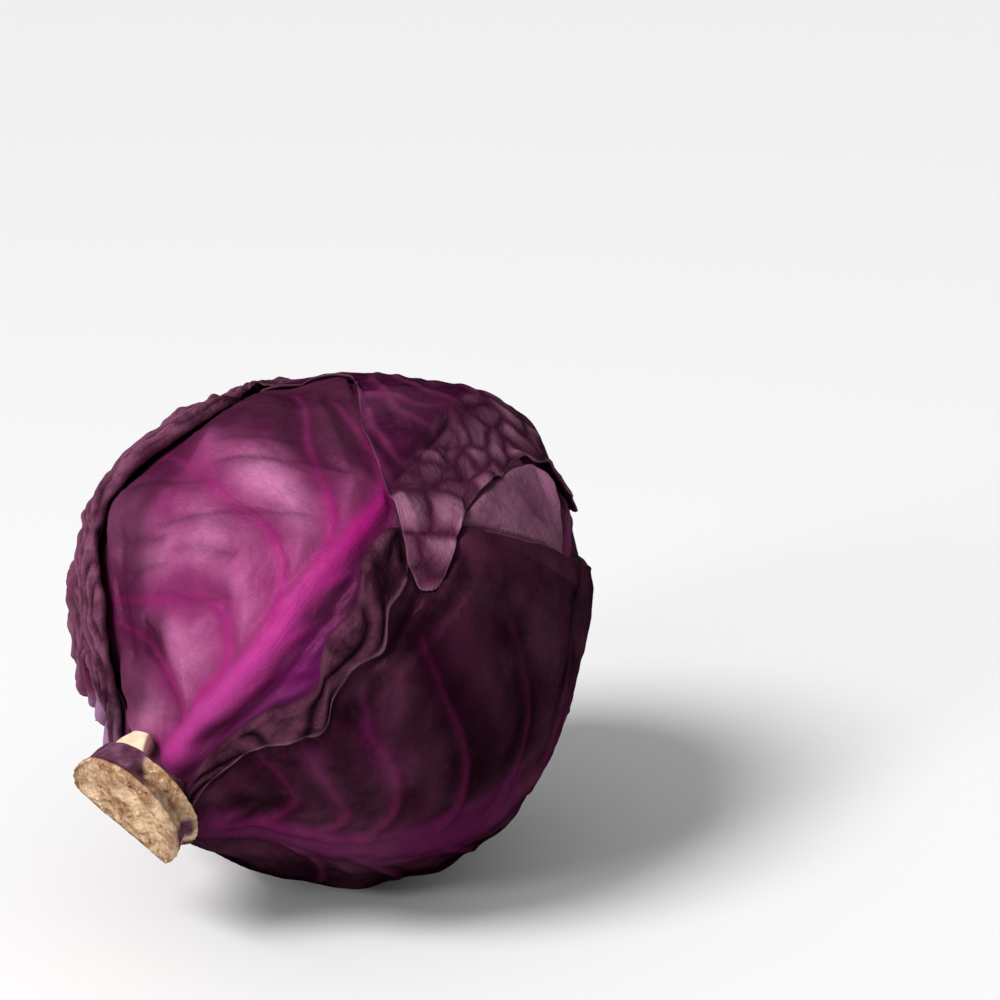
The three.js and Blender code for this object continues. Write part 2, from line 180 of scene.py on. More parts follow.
def line_distance(ways, line):
    """Distance in metres on the head from each way to a line of unit vectors, and the share along it."""
    best = np.full(ways.shape[:-1], 1e9)
    along = np.zeros(ways.shape[:-1])
    steps = len(line) - 1
    for i in range(steps):
        edge = line[i + 1] - line[i]
        share = np.clip(((ways - line[i]) @ edge) / max(edge @ edge, 1e-12), 0, 1)
        distance = np.linalg.norm(line[i] + share[..., None] * edge - ways, axis=-1)
        nearer = distance < best
        best = np.where(nearer, distance, best)
        along = np.where(nearer, (i + share) / steps, along)
    return best * HEAD_RADIUS, along


def flat_map(centre, ways):
    """A flat map round a centre that keeps distances from that centre."""
    across = unit(np.cross([0.0, 0.0, 1.0], centre))
    along = np.cross(centre, across)
    angle = np.arccos(np.clip(ways @ centre, -1, 1))
    x = ways @ across
    y = ways @ along
    scale = angle / np.maximum(np.hypot(x, y), 1e-9)
    return x * scale, y * scale


def inside_ring(ring, ways):
    """Which ways lie inside a closed ring of unit vectors."""
    centre = unit(ring.sum(0))
    x, y = flat_map(centre, ways)
    ring_x, ring_y = flat_map(centre, ring)
    inside = np.zeros(x.shape, bool)
    for i in range(len(ring_x)):
        x0, y0, x1, y1 = ring_x[i], ring_y[i], ring_x[i - 1], ring_y[i - 1]
        crosses = (y0 > y) != (y1 > y)
        edge_x = (x1 - x0) * (y - y0) / (y1 - y0 if y1 != y0 else 1e-12) + x0
        inside ^= crosses & (x < edge_x)
    return inside


def ring_distance(ring, ways):
    distance, _ = line_distance(ways, np.concatenate([ring, ring[:1]]))
    return distance


def outside_leaf(leaf, ways):
    """Distance in metres that each way lies outside the leaf's outline, 0 inside it."""
    return np.where(inside_ring(leaf["ring"], ways), 0.0, ring_distance(leaf["ring"], ways))


def patch(ways, rows, soft):
    """1 inside a region given by the [reach, turn] rows of its outline, fading to 0 over a soft border."""
    rows = np.asarray(rows, float)
    ring = direction(rows[:, 0], rows[:, 1])
    distance = ring_distance(ring, ways)
    signed = np.where(inside_ring(ring, ways), distance, -distance)
    return smoothstep(signed, -soft / 2, soft / 2)


def stroke(ways, rows, width, power=2.0):
    """1 on a line given by [reach, turn] rows, fading to 0 sideways and towards its two ends."""
    distance, along = line_distance(ways, ball_curve(rows, np.linspace(0, 1, 40)))
    ends = smoothstep(along, 0.0, 0.2) * (1 - smoothstep(along, 0.8, 1.0))
    return np.exp(-((distance / width) ** power)) * ends


def soft_noise(points, size, seed, layers=3):
    """Smooth noise about -1 to 1: sums of sine waves in seeded directions, of a given size in metres."""
    random = np.random.default_rng(seed)
    total = np.zeros(points.shape[:-1])
    weight = 0.0
    for layer in range(layers):
        wave = 2 * math.pi * (1.7 ** layer) / size
        strength = 0.6 ** layer
        for _ in range(5):
            way = random.normal(size=3)
            way /= np.linalg.norm(way)
            total += strength * np.sin(points @ (way * wave) + random.uniform(0, 2 * math.pi))
        weight += strength * 2.2
    return total / weight


def cells(ways, spacing, seed):
    """Distance from each way to the nearest border between cells scattered over the head, in metres."""
    random = np.random.default_rng(seed)
    count = int(4 * math.pi * HEAD_RADIUS ** 2 / spacing ** 2)
    seeds = unit(random.normal(size=(count, 3)))
    flat = ways.reshape(-1, 3)
    first = np.full(len(flat), 1e9)
    second = np.full(len(flat), 1e9)
    for seed_way in seeds:
        distance = np.linalg.norm(flat - seed_way, axis=1)
        second = np.where(distance < first, first, np.minimum(second, distance))
        first = np.minimum(first, distance)
    return ((second - first) / 2 * HEAD_RADIUS).reshape(ways.shape[:-1])


# Leaves from the innermost to the outermost. Rows of [reach, turn] run from the stem to the leaf's tip,
# along its left margin, its midrib and its right margin. right_guide pulls the sheet sideways between them.
# All other numbers are in mm, or are shares. rib, vein_rise, blister, pillow, lumps and margin_lift are the
# heights of the relief, cell is the width of a crumpled cell, wave the depth of the scallops and spacing the
# mesh's step. furrows has the number, waver and depth of the furrows on a folded strip. veins are lines.
# A ridge is a line, its half width and its height, and a crease is a line and its depth. dark, dusty and
# violet are regions of colour: an outline, its soft border and its strength. The dark regions are partly
# the leaf's own darker tone and partly painted shade: near the stem, under the margins of the leaves above,
# in the gaps between leaves, on the underside and on the side away from the light.
LEAVES = [
    {
        "name": "leaf_inner_right",
        "left": [[9, 60], [40, 42], [65, 36], [90, 34], [115, 36], [140, 40], [160, 70]],
        "midrib": [[9, 84], [40, 82], [65, 84], [90, 84], [115, 84], [140, 88], [163, 100]],
        "right": [[9, 108], [40, 122], [65, 130], [90, 133], [115, 136], [140, 142], [160, 130]],
        "rib": 1.6, "spacing": 1.5, "blister": 1.0, "cell": 13, "pillow": 1.0, "wave": 1.6,
    },
    {
        "name": "leaf_inner_back",
        "left": [[9, 184], [40, 160], [70, 148], [100, 146], [130, 150], [152, 172]],
        "midrib": [[9, 206], [40, 205], [70, 205], [100, 206], [130, 207], [156, 210]],
        "right": [[9, 230], [40, 250], [70, 264], [100, 268], [130, 266], [152, 248]],
        "rib": 1.8, "spacing": 1.6, "blister": 0.9, "cell": 14, "pillow": 1.2, "wave": 1.6,
    },
    {
        "name": "leaf_front",
        "left": [[10, -12], [28, -28], [39, -32], [51, -34], [64, -35], [77, -35], [90, -34], [105, -30],
                 [120, -22], [132, 2]],
        "midrib": [[9, 14], [26, 31], [38, 37], [51, 39], [64, 38], [77, 38], [90, 37], [105, 36], [120, 36],
                   [135, 36]],
        "right": [[10, 50], [27, 62], [38, 72], [51, 80], [64, 84], [77, 86], [90, 86], [105, 84], [120, 78],
                  [132, 62]],
        "rib": 2.9, "rib_width": (5.4, 2.0), "spacing": 0.9, "blister": 0.2, "cell": 16, "pillow": 3.0,
        "wave": 1.2,
        "veins": [
            [[19, 25], [21, 26], [28, 13], [35, 2], [38, -6], [41, -20]],
            [[24, 30], [33, 28], [38, 32], [43, 31], [47, 28], [50, 24], [51, 19], [51, 14], [48, 4],
             [46, -8], [46, -24]],
            [[36, 36], [46, 37], [53, 37], [60, 34], [63, 32], [66, 29], [69, 24], [71, 18], [71, 13],
             [73, 5], [76, -4], [80, -20]],
            [[52, 39], [62, 37], [69, 36], [74, 35], [79, 32], [83, 28], [88, 21], [95, 12], [106, 1],
             [112, -10]],
            [[76, 38], [88, 37], [93, 35], [101, 26], [109, 12], [113, 3]],
            [[36, 38], [44, 44], [52, 50], [60, 60], [66, 72]],
            [[52, 40], [60, 46], [68, 53], [76, 64], [82, 76]],
            [[66, 39], [76, 45], [86, 53], [94, 66], [100, 78]],
        ],
        "ridges": [
            ([[26, 26], [33, 30], [47, 34], [60, 35], [70, 35]], 1.6, 0.9),
            ([[17, 33], [26, 40], [36, 45.5], [50, 46], [64, 44.5], [78, 43]], 2.0, -1.9),
            ([[20, 20], [24, 14], [30, 8], [36, -2]], 4.0, -1.2),
            ([[34, 0], [38, -4], [42, 0]], 4.0, -1.5),
        ],
        "creases": [
            ([[78, -6], [81, -1], [84, 5], [87, 12], [90, 18], [92, 25], [93, 30]], 1.5),
            ([[60, -11], [62, -5], [65, 0], [68, 6], [71, 13], [75, 21], [77, 26], [79, 31]], 1.5),
            ([[57, -1], [59, 5], [61, 11], [62, 17], [62, 20]], 1.0),
            ([[47, -6], [49, 3], [50, 13], [53, 20], [55, 25]], 1.0),
            ([[89, 2], [88, 9], [88, 16]], 0.8),
            ([[84, -8], [88, -2], [92, 6], [95, 12]], 0.9),
            ([[70, -26], [72, -16], [73, -6], [76, 2]], 1.2),
            ([[56, -24], [58, -15], [59, -7], [62, 0]], 1.2),
            ([[44, -24], [49, -14], [53, -6], [55, 4]], 1.2),
            ([[30, -16], [36, -12], [44, -14], [54, -18], [66, -20]], 1.4),
        ],
        # Partly the leaf's own darker tone, partly painted shade near the stem and under the lower leaf's
        # margin
        "dark": [
            ([[82, -22], [86, -8], [89, 4], [88, 14], [91, 24], [93, 38], [112, 44], [135, 36], [135, -10],
              [108, -30]], 12, 1.0),
            ([[32, -6], [36, -10], [44, -6], [45, 2], [42, 8], [36, 8], [32, 2]], 7, 0.95),
            ([[16, -30], [60, -34], [104, -30], [100, -8], [72, -10], [60, -8], [46, -5], [36, 2], [24, 2]],
             12, 0.88),
            ([[8, 30], [16, 30], [30, 44], [20, 60], [8, 60]], 8, 0.6),
            ([[84, 20], [84, 38], [76, 46], [90, 60], [100, 40], [98, 22]], 9, 0.5),
            ([[60, 42], [86, 40], [88, 60], [58, 60]], 6, 0.8),
        ],
        "violet": [([[14, 38], [36, 44], [52, 45], [66, 43], [78, 41], [90, 42], [90, 90], [60, 90],
                     [14, 60]], 4, 1.0)],
        "dusty": [([[85, 44], [92, 38], [112, 40], [135, 40], [130, 90], [85, 90]], 5, 1.0)],
    },
    {
        "name": "leaf_back",
        "left": [[9, 250], [40, 238], [70, 232], [100, 228], [130, 230], [150, 244]],
        "midrib": [[9, 262], [40, 260], [70, 260], [100, 262], [130, 268], [153, 270]],
        "right": [[9, 276], [40, 284], [70, 288], [100, 292], [130, 296], [150, 290]],
        "rib": 2.2, "spacing": 1.5, "blister": 0.9, "cell": 14, "pillow": 1.4, "wave": 1.6,
    },
    {
        "name": "leaf_lower",
        "thickness": THICK_LEAF,
        "left": [[9, 58], [19, 47], [29, 47], [36, 49], [42, 51], [47, 54], [52, 54.5], [56, 51], [61, 48.5],
                 [67, 48.5], [71, 46], [75, 43], [80, 42], [86, 43.5], [94, 50], [103, 60], [112, 71],
                 [121, 83], [131, 95], [140, 110], [150, 128]],
        "midrib": [[9, 104], [22, 106], [31, 110], [43, 113], [54, 114], [68, 116], [85, 117], [105, 120],
                   [125, 126], [140, 132], [154, 144]],
        "right": [[9, 186], [25, 198], [38, 204], [52, 207], [64, 208], [78, 208], [92, 207], [108, 203],
                  [125, 196], [140, 183], [152, 160]],
        "rib": 2.0, "rib_width": (8.0, 3.0), "spacing": 1.2, "blister": 0.3, "cell": 20, "pillow": 2.0,
        "wave": 1.2, "vein_rise": 1.4, "furrows": (1.3, 1.6, 1.2), "strip_step": 0.6, "margin_lift": 0.4,
        "fold": {"side": "left", "from": -0.06, "to": 0.76, "radius": 1.25,
                 "widths": [5, 6.5, 8, 9.5, 12, 11.5, 13, 15, 14, 12]},
        "veins": [
            [[18, 104], [26, 94], [32, 86], [33, 79], [33, 69], [32, 60]],
            [[28, 108], [36, 102], [41, 96], [41, 85], [41, 71], [42, 62]],
            [[40, 112], [50, 98], [54, 84], [54, 73], [57, 64], [60, 61]],
            [[54, 114], [64, 102], [68, 88], [70, 74], [73, 62]],
            [[70, 116], [82, 100], [88, 84], [92, 70]],
            [[88, 117], [104, 104], [114, 92]],
            [[24, 108], [34, 130], [40, 156], [43, 186]],
            [[40, 113], [52, 136], [60, 160], [64, 190]],
            [[58, 115], [72, 138], [82, 164], [86, 192]],
            [[80, 117], [96, 138], [106, 160], [110, 186]],
            [[104, 120], [118, 140], [128, 164]],
        ],
        "ridges": [
            ([[90, 60], [86, 58.5], [79, 58], [74, 60], [67, 60.5], [60, 62], [54, 68], [50, 78], [49, 88]],
             3.0, 0.8),
            ([[84, 55], [78, 55.5], [72, 57.5], [66, 58.5], [60, 59.5]], 1.8, -1.4),
            ([[37, 64], [37, 74], [37, 86], [36, 96]], 3.4, -1.3),
            ([[48, 66], [47, 78], [46, 92], [44, 102]], 3.4, -1.3),
            ([[28, 64], [28, 74], [28, 86], [26, 94]], 3.0, -1.0),
            ([[62, 70], [61, 82], [58, 94], [52, 104]], 3.6, -1.2),
            ([[72, 70], [74, 84], [72, 98], [66, 108]], 4.0, -1.0),
            ([[14, 92], [18, 90], [22, 86], [24, 80]], 1.6, 1.2),
            ([[10, 92], [16, 98], [22, 99], [30, 104], [44, 107], [58, 108]], 1.3, 0.8),
        ],
        # Mostly painted shade: in the gap beside the lobe, below the strip near the stem, on the side away
        # from  the light and on the underside
        "dark": [
            ([[84, 50], [92, 56], [90, 62], [74, 62], [60, 64], [52, 70], [50, 62], [60, 58], [72, 54]], 6,
             1.0),
            ([[20, 58], [30, 58], [30, 90], [20, 90]], 8, 0.6),
            ([[58, 66], [100, 60], [120, 96], [90, 108], [62, 98]], 16, 0.6),
            ([[26, 134], [60, 128], [100, 132], [110, 206], [20, 206]], 12, 0.8),
        ],
        "violet": [
            ([[12, 96], [22, 97], [32, 101], [46, 104], [60, 104], [80, 106], [80, 124], [46, 122],
              [12, 118]], 5, 1.0),
            ([[39, 66], [43, 66], [43, 98], [39, 98]], 5, 0.5),
            ([[52, 68], [57, 66], [56, 84], [50, 96]], 5, 0.5),
        ],
    },
    {
        "name": "leaf_top",
        "left": [[9, 312], [45, 312], [75, 300], [98, 285], [115, 277], [128, 270], [134, 266], [138, 263],
                 [142, 259], [146, 254], [148, 249], [150, 243], [150, 236], [149, 228], [148, 216],
                 [146, 200], [145, 184], [147, 168]],
        "midrib": [[9, 322], [45, 320], [72, 321], [96, 326], [117, 335], [128, 340], [135, 345], [139, 348],
                   [143, 350], [146, 353], [150, 356], [154, 360], [158, 366], [163, 376], [168, 394],
                   [172, 430], [171, 465], [164, 490]],
        "right_guide": [[9, 328], [45, 324], [75, 326], [102, 332], [120, 342], [130, 351], [127, 362],
                        [124, 370], [120, 379], [116, 386], [112, 392], [113, 397], [121, 402], [134, 402],
                        [148, 408], [158, 430], [162, 460], [161, 482]],
        "right": [[9, 334], [45, 328], [78, 331], [107, 338], [122, 349], [125, 357], [114, 371], [104, 382],
                  [95, 393], [87, 403], [80, 411], [83, 417], [99, 411], [117, 411], [134, 416], [145, 432],
                  [152, 458], [158, 474]],
        "rib": 1.6, "spacing": 1.05, "blister": 1.1, "cell": 10.5, "cell_edge": 0.26, "pillow": 1.0,
        "wave": 2.2, "margin_lift": 1.0,
        "veins": [
            [[137, -8], [128, 2], [121, 12], [116, 22], [116, 33], [116, 49]],
            [[140, -4], [132, 8], [127, 20], [127, 29], [130, 43], [131, 52]],
            [[148, 0], [142, 16], [138, 30], [138, 46]],
            [[112, 16], [106, 24], [102, 34], [104, 45], [108, 50]],
            [[100, 26], [96, 34], [90, 44], [84, 52]],
            [[116, 10], [119, 18], [121, 26], [127, 31]],
            [[128, -20], [138, -34], [143, -60], [142, -90]],
            [[118, -25], [126, -42], [129, -66]],
            [[104, -30], [110, -48], [112, -66]],
            [[90, -35], [94, -48], [94, -62]],
            [[150, 0], [156, -30], [156, -90], [150, -140]],
            [[165, 40], [160, 80], [156, 110]],
        ],
        "ridges": [
            ([[110, 18], [124, 20], [138, 28], [152, 44], [157, 66]], 15, 3.4),
            ([[134, 26], [118, 33], [104, 38]], 9, 1.8),
        ],
        "creases": [
            ([[127, 32], [117, 34], [106, 35], [97, 35], [92, 37]], 1.6),
            ([[92, 32], [94, 36], [100, 40], [103, 45]], 1.3),
            ([[120, 36], [112, 40], [110, 48]], 1.2),
            ([[100, 36], [98, 42], [92, 48]], 1.2),
        ],
        "dusty": [
            ([[150, 30], [137, 29], [120, 31], [108, 34], [95, 36], [84, 41], [76, 56], [92, 60], [114, 56],
              [135, 62], [150, 90], [165, 120], [172, 60]], 4, 1.0),
        ],
    },
    {
        "name": "leaf_side",
        "left": [[9, 276], [30, 270], [50, 263], [70, 260], [90, 260], [106, 264], [120, 274], [130, 292]],
        "midrib": [[9, 300], [30, 300], [50, 300], [70, 300], [90, 302], [106, 305], [120, 309], [132, 312]],
        "right": [[9, 322], [18, 324], [30, 337], [44, 340], [56, 335], [66, 333], [76, 337], [88, 344],
                  [100, 343], [113, 337], [127, 328]],
        "rib": 2.0, "spacing": 0.8, "blister": 0.7, "cell": 12, "pillow": 0.8, "wave": 2.0,
        "strip_step": 0.45, "lumps": 1.6, "furrows": (2.7, 1.3, 3.0),
        "fold": {"side": "right", "from": -0.06, "to": 0.9, "radius": 0.7,
                 "widths": [4, 6, 8, 9, 8.5, 7, 5, 3.5]},
        "pleats": {"side": "right", "reach": 50, "spacing": 5.0, "height": 4.2},
        "violet": [([[9, 290], [32, 290], [28, 330], [9, 335]], 8, 1.0)],
    },
]


def prepare_leaf(leaf):
    """Adds the leaf's outline and its sizes."""
    leaf.setdefault("thickness", LEAF_THICKNESS)
    shares = np.linspace(0, 1, 45)
    right = ball_curve(leaf["right"], shares)
    left = ball_curve(leaf["left"], shares)
    middle = ball_curve(leaf["midrib"], shares)
    leaf["ring"] = np.concatenate([right, middle[-1:], left[::-1]])
    leaf["length"] = max(
        np.linalg.norm(np.diff(curve, axis=0), axis=1).sum() * HEAD_RADIUS for curve in (left, middle, right)
    )
    for side, margin in (("left", left), ("right", right)):
        angles = np.arccos(np.clip(np.sum(middle * margin, -1), -1, 1))
        leaf[side + "_width"] = angles.max() * HEAD_RADIUS


def drape_radius(k, ways):
    """Radius of the underside of leaf number k: over the heart, the leaves below it and the stem's base."""
    radius = heart_radius(ways) + LEAF_GAP
    for leaf in LEAVES[:k]:
        cover = 1 - smoothstep(outside_leaf(leaf, ways), DRAPE_REACH, DRAPE_REACH + DRAPE_FALL)
        radius = radius + cover * (leaf["thickness"] + LEAF_GAP)
    reach = np.degrees(np.arccos(np.clip(ways @ STEM_AXIS, -1, 1)))
    return radius + BASE_LIFT * (1 - smoothstep(reach, BASE_FROM, BASE_TO))


def openness(k, ways):
    """How far leaf number k is free of leaves above it: 0 under them, 1 in the open."""
    open_share = away_from_rest(ways)
    for leaf in LEAVES[k + 1:]:
        open_share = open_share * smoothstep(outside_leaf(leaf, ways), OPEN_FROM, OPEN_FULL)
    return open_share


def side_columns(leaf, side, shares):
    """One side of the sheet by rows: distance from the midrib, height, slope and place on the strip."""
    spacing = leaf["spacing"] * MM
    flat_count = int(leaf[side + "_width"] / spacing)
    fold = leaf.get("fold")
    middle = ball_curve(leaf["midrib"], shares)
    margin = ball_curve(leaf[side], shares)
    width = np.arccos(np.clip(np.sum(middle * margin, -1), -1, 1)) * HEAD_RADIUS
    steps = np.arange(1, flat_count + 1) / flat_count
    if not fold or fold["side"] != side:
        x = width[:, None] * steps[None, :]
        zero = np.zeros_like(x)
        return {"x": x, "height": zero, "slope": zero, "strip": zero, "width": width, "size": width * 0}
    opening = smoothstep(shares, fold["from"], fold["from"] + 0.1)
    opening = opening * (1 - smoothstep(shares, fold["to"] - 0.22, fold["to"]))
    widths = np.interp(shares / fold["to"], np.linspace(0, 1, len(fold["widths"])), fold["widths"]) * MM
    wobble = 1 + 0.10 * np.sin(shares * 31) + 0.05 * np.sin(shares * 67 + 1)
    size = widths * opening * wobble
    radius = fold["radius"] * MM
    amount = np.minimum(size / FULL_BEND, 1)
    flat = width - radius * amount
    slopes = math.pi * amount[:, None] * (np.arange(1, BEND_STEPS + 1) / BEND_STEPS)[None, :]
    bend_x = flat[:, None] + radius * np.sin(slopes)
    bend_height = radius * (1 - np.cos(slopes))
    back_count = max(int(widths.max() / (leaf.get("strip_step", 0.9) * MM)), 3)
    back_steps = (np.arange(1, back_count + 1) / back_count)[None, :]
    back = np.maximum(size - radius, 0)[:, None] * back_steps
    last = slopes[:, -1:]
    flat_x = flat[:, None] * steps[None, :]
    nothing = np.zeros_like(flat_x)
    return {
        "x": np.concatenate([flat_x, bend_x, bend_x[:, -1:] + back * np.cos(last)], axis=1),
        "height": np.concatenate([nothing, bend_height, bend_height[:, -1:] + back * np.sin(last)], axis=1),
        "slope": np.concatenate([nothing, slopes, np.repeat(last, back_count, axis=1)], axis=1),
        "strip": np.concatenate([nothing, slopes * 0 + STRIP_START, back_steps * amount[:, None]], axis=1),
        "width": width,
        "size": size,
    }


def leaf_veins(leaf):
    """Side veins as lines of unit vectors that leave the midrib and bend towards the margin."""
    if "veins" in leaf:
        return [ball_curve(rows, np.linspace(0, 1, 22)) for rows in leaf["veins"]]
    random = np.random.default_rng(len(leaf["name"]))
    veins = []
    for side in ("left", "right"):
        for start in np.arange(0.05, 0.85, 0.13) + random.uniform(-0.02, 0.05, 7):
            across = np.linspace(0, 0.96, 22)
            bend = random.uniform(0.1, 0.24)
            shares = np.clip(start + bend * across ** 0.7 * (1 - start), 0, 1)
            middle = ball_curve(leaf["midrib"], shares)
            margin = ball_curve(leaf[side], shares)
            veins.append(between(middle, margin, across))
    return veins


def leaf_sheet(leaf):
    """The sheet of a leaf: ways from the head's centre, ways towards its margins and fields of both sides."""
    row_count = int(leaf["length"] / (leaf["spacing"] * MM))
    shares = np.linspace(0, 1, row_count)
    middle = ball_curve(leaf["midrib"], shares)
    sides = {side: side_columns(leaf, side, shares) for side in ("left", "right")}
    for side, columns in sides.items():
        margin = ball_curve(leaf[side], shares)
        count = columns["x"].shape[1]
        columns["across"] = columns["x"] / columns["width"][:, None]
        starts, ends = (np.repeat(curve[:, None], count, 1) for curve in (middle, margin))
        if side + "_guide" in leaf:
            guides = np.repeat(ball_curve(leaf[side + "_guide"], shares)[:, None], count, 1)
            columns["ways"] = bent(starts, guides, ends, columns["across"])
            columns["towards"] = unit(ends - guides)
        else:
            columns["ways"] = between(starts, ends, columns["across"])
            columns["towards"] = unit(ends - starts)
        columns["inset"] = columns["width"][:, None] - columns["x"]
        columns["fold_size"] = np.repeat(columns["size"][:, None], count, 1)
        columns["sign"] = np.full(columns["x"].shape, -1.0 if side == "left" else 1.0)
    nothing = np.zeros((row_count, 1))
    middles = {"ways": middle[:, None], "towards": nothing[..., None] * middle[:, None]}
    fields = {}
    for name in ("ways", "towards", "x", "height", "slope", "strip", "across", "inset", "fold_size", "sign"):
        left, right = sides["left"][name], sides["right"][name]
        fields[name] = np.concatenate([left[:, ::-1], middles.get(name, nothing), right], axis=1)
    sheet = SimpleNamespace(**fields)
    sheet.along = np.repeat(shares[:, None], sheet.x.shape[1], 1)
    sheet.folded = np.clip(sheet.slope / math.pi, 0, 1)
    sheet.points = sheet.ways * HEAD_RADIUS
    return sheet


def rib_and_veins(leaf, sheet):
    """The midrib, the side veins and the swells between them, 0 to 1, and their height."""
    wide, narrow = leaf.get("rib_width", (5.0, 2.4))
    rib_width = (wide + (narrow - wide) * sheet.along) * MM
    rib = np.exp(-((sheet.x / rib_width) ** 4))
    vein = np.zeros(sheet.x.shape)
    gap = np.maximum(sheet.x - rib_width, 0)
    for line in leaf_veins(leaf):
        distance, along = line_distance(sheet.ways, line)
        fade = 1 - VEIN_FADE * along
        vein = np.maximum(vein, np.exp(-((distance / (VEIN_WIDTH + VEIN_SPREAD * fade)) ** 2)) * fade)
        gap = np.minimum(gap, distance)
    swell = 1 - np.exp(-((gap / SWELL_REACH) ** 2))
    relief = leaf["rib"] * MM * (1 - RIB_THINNING * sheet.along) * np.exp(-((sheet.x / rib_width) ** 2))
    between_ribs = leaf["pillow"] * (swell - SWELL_LEVEL) + leaf.get("vein_rise", 0.9) * vein
    return rib, vein, swell, relief + between_ribs * (1 - rib) * MM


def crumple(leaf, k, sheet, rib, swell, dusty):
    """Height, creases and puffs of the crumpled cells, drawn ridges and creases, and soft unevenness.
    The creases are painted shade: along the cell borders, in grooves and along the drawn creases.
    """
    points = sheet.points
    wander = np.stack([soft_noise(points, 0.03, 7 + i) for i in range(3)], -1)
    border = cells(unit(sheet.ways + CELL_WANDER * wander), leaf["cell"] * MM, 40 + k)
    puff = 1 - np.exp(-((border / (leaf.get("cell_edge", 0.28) * leaf["cell"] * MM)) ** 2))
    if "dusty" not in leaf:
        puff = puff * swell
    if leaf["blister"] < SMOOTH_BLISTER:
        puff = swell
    blister = leaf["blister"] * (0.35 + 0.65 * dusty) if "dusty" in leaf else leaf["blister"]
    relief = blister * MM * (puff - CELL_LEVEL) * (1 - rib) * smoothstep(sheet.across, 0.05, 0.3)
    # Painted shade along the cell borders, in the grooves of sunken ridges and along the drawn creases
    shade_in_creases = np.exp(-((border / CELL_CREASE) ** 2)) * (1 - rib) * np.minimum(blister, 1) * 0.6
    for rows, half_width, rise in leaf.get("ridges", []):
        mask = stroke(sheet.ways, rows, half_width * MM)
        relief = relief + rise * MM * mask
        if rise < 0:
            shade_in_creases = np.maximum(shade_in_creases, mask * min(-rise / 1.8, 1) * 0.8)
    for rows, depth in leaf.get("creases", []):
        relief = relief - CREASE_DEPTH * depth * MM * stroke(sheet.ways, rows, CREASE_WIDTH, 1.0)
        line = stroke(sheet.ways, rows, CREASE_LINE, 1.2) * min(depth / 1.6, 0.85)
        shade = stroke(sheet.ways, rows, CREASE_SHADE, 1.2) * min(depth / 2.4, 0.55)
        shade_in_creases = np.maximum(np.maximum(shade_in_creases, line), shade)
    lumps = leaf.get("lumps", 0.55) * MM
    relief = relief + lumps * (soft_noise(points, 0.024, 3 + k) + 0.35 * soft_noise(points, 0.008, 13 + k))
    return relief, shade_in_creases, puff


def pleated(leaf, k, sheet, relief, shade_in_creases, puff):
    """Adds the lengthwise pleats beside a crumpled margin.
    Their valleys get painted shade and their crests painted light.
    """
    pleats = leaf.get("pleats")
    if not pleats:
        return relief, shade_in_creases, puff
    on_side = sheet.sign > 0 if pleats["side"] == "right" else sheet.sign < 0
    waver = 3.4 * soft_noise(sheet.points, 0.045, 51 + k, 2)
    waver = waver + 1.2 * soft_noise(sheet.points, 0.016, 52 + k, 1)
    phase = (sheet.inset + waver * MM) / (pleats["spacing"] * MM)
    valley = np.abs(np.sin(math.pi * phase))
    far = pleats["reach"] * MM
    reach = (1 - smoothstep(sheet.inset, far - PLEAT_FADE, far)) * on_side
    reach = reach * smoothstep(sheet.inset, sheet.fold_size, sheet.fold_size + 3 * MM) * (1 - sheet.folded)
    long_waves = 0.75 + 0.5 * soft_noise(sheet.points, 0.03, 53 + k)
    relief = relief + pleats["height"] * MM * (valley ** 0.55 - 0.5) * reach * long_waves
    return relief, np.maximum(shade_in_creases, (1 - valley) * reach), puff * (1 - reach) + valley ** 2 * reach


def strip_furrows(leaf, k, sheet):
    """The furrows of the folded strip, 0 in a furrow to 1 beside it, and the strip's height."""
    crinkle = 0.8 * soft_noise(sheet.points, 0.012, 61 + k, 2)
    crinkle = crinkle + 0.4 * soft_noise(sheet.points, 0.006, 62 + k, 2)
    furrows, waver, depth = leaf.get("furrows", (1.1, 1.5, 1.1))
    phase = furrows * sheet.strip + waver * soft_noise(sheet.points, 0.04, 63 + k, 2)
    furrow = np.abs(np.sin(math.pi * phase)) ** 0.8
    beyond_bend = sheet.folded * smoothstep(sheet.strip, 0.0, 0.12)
    return furrow, beyond_bend * (depth * (furrow - 0.45) + 0.9 * crinkle) * MM


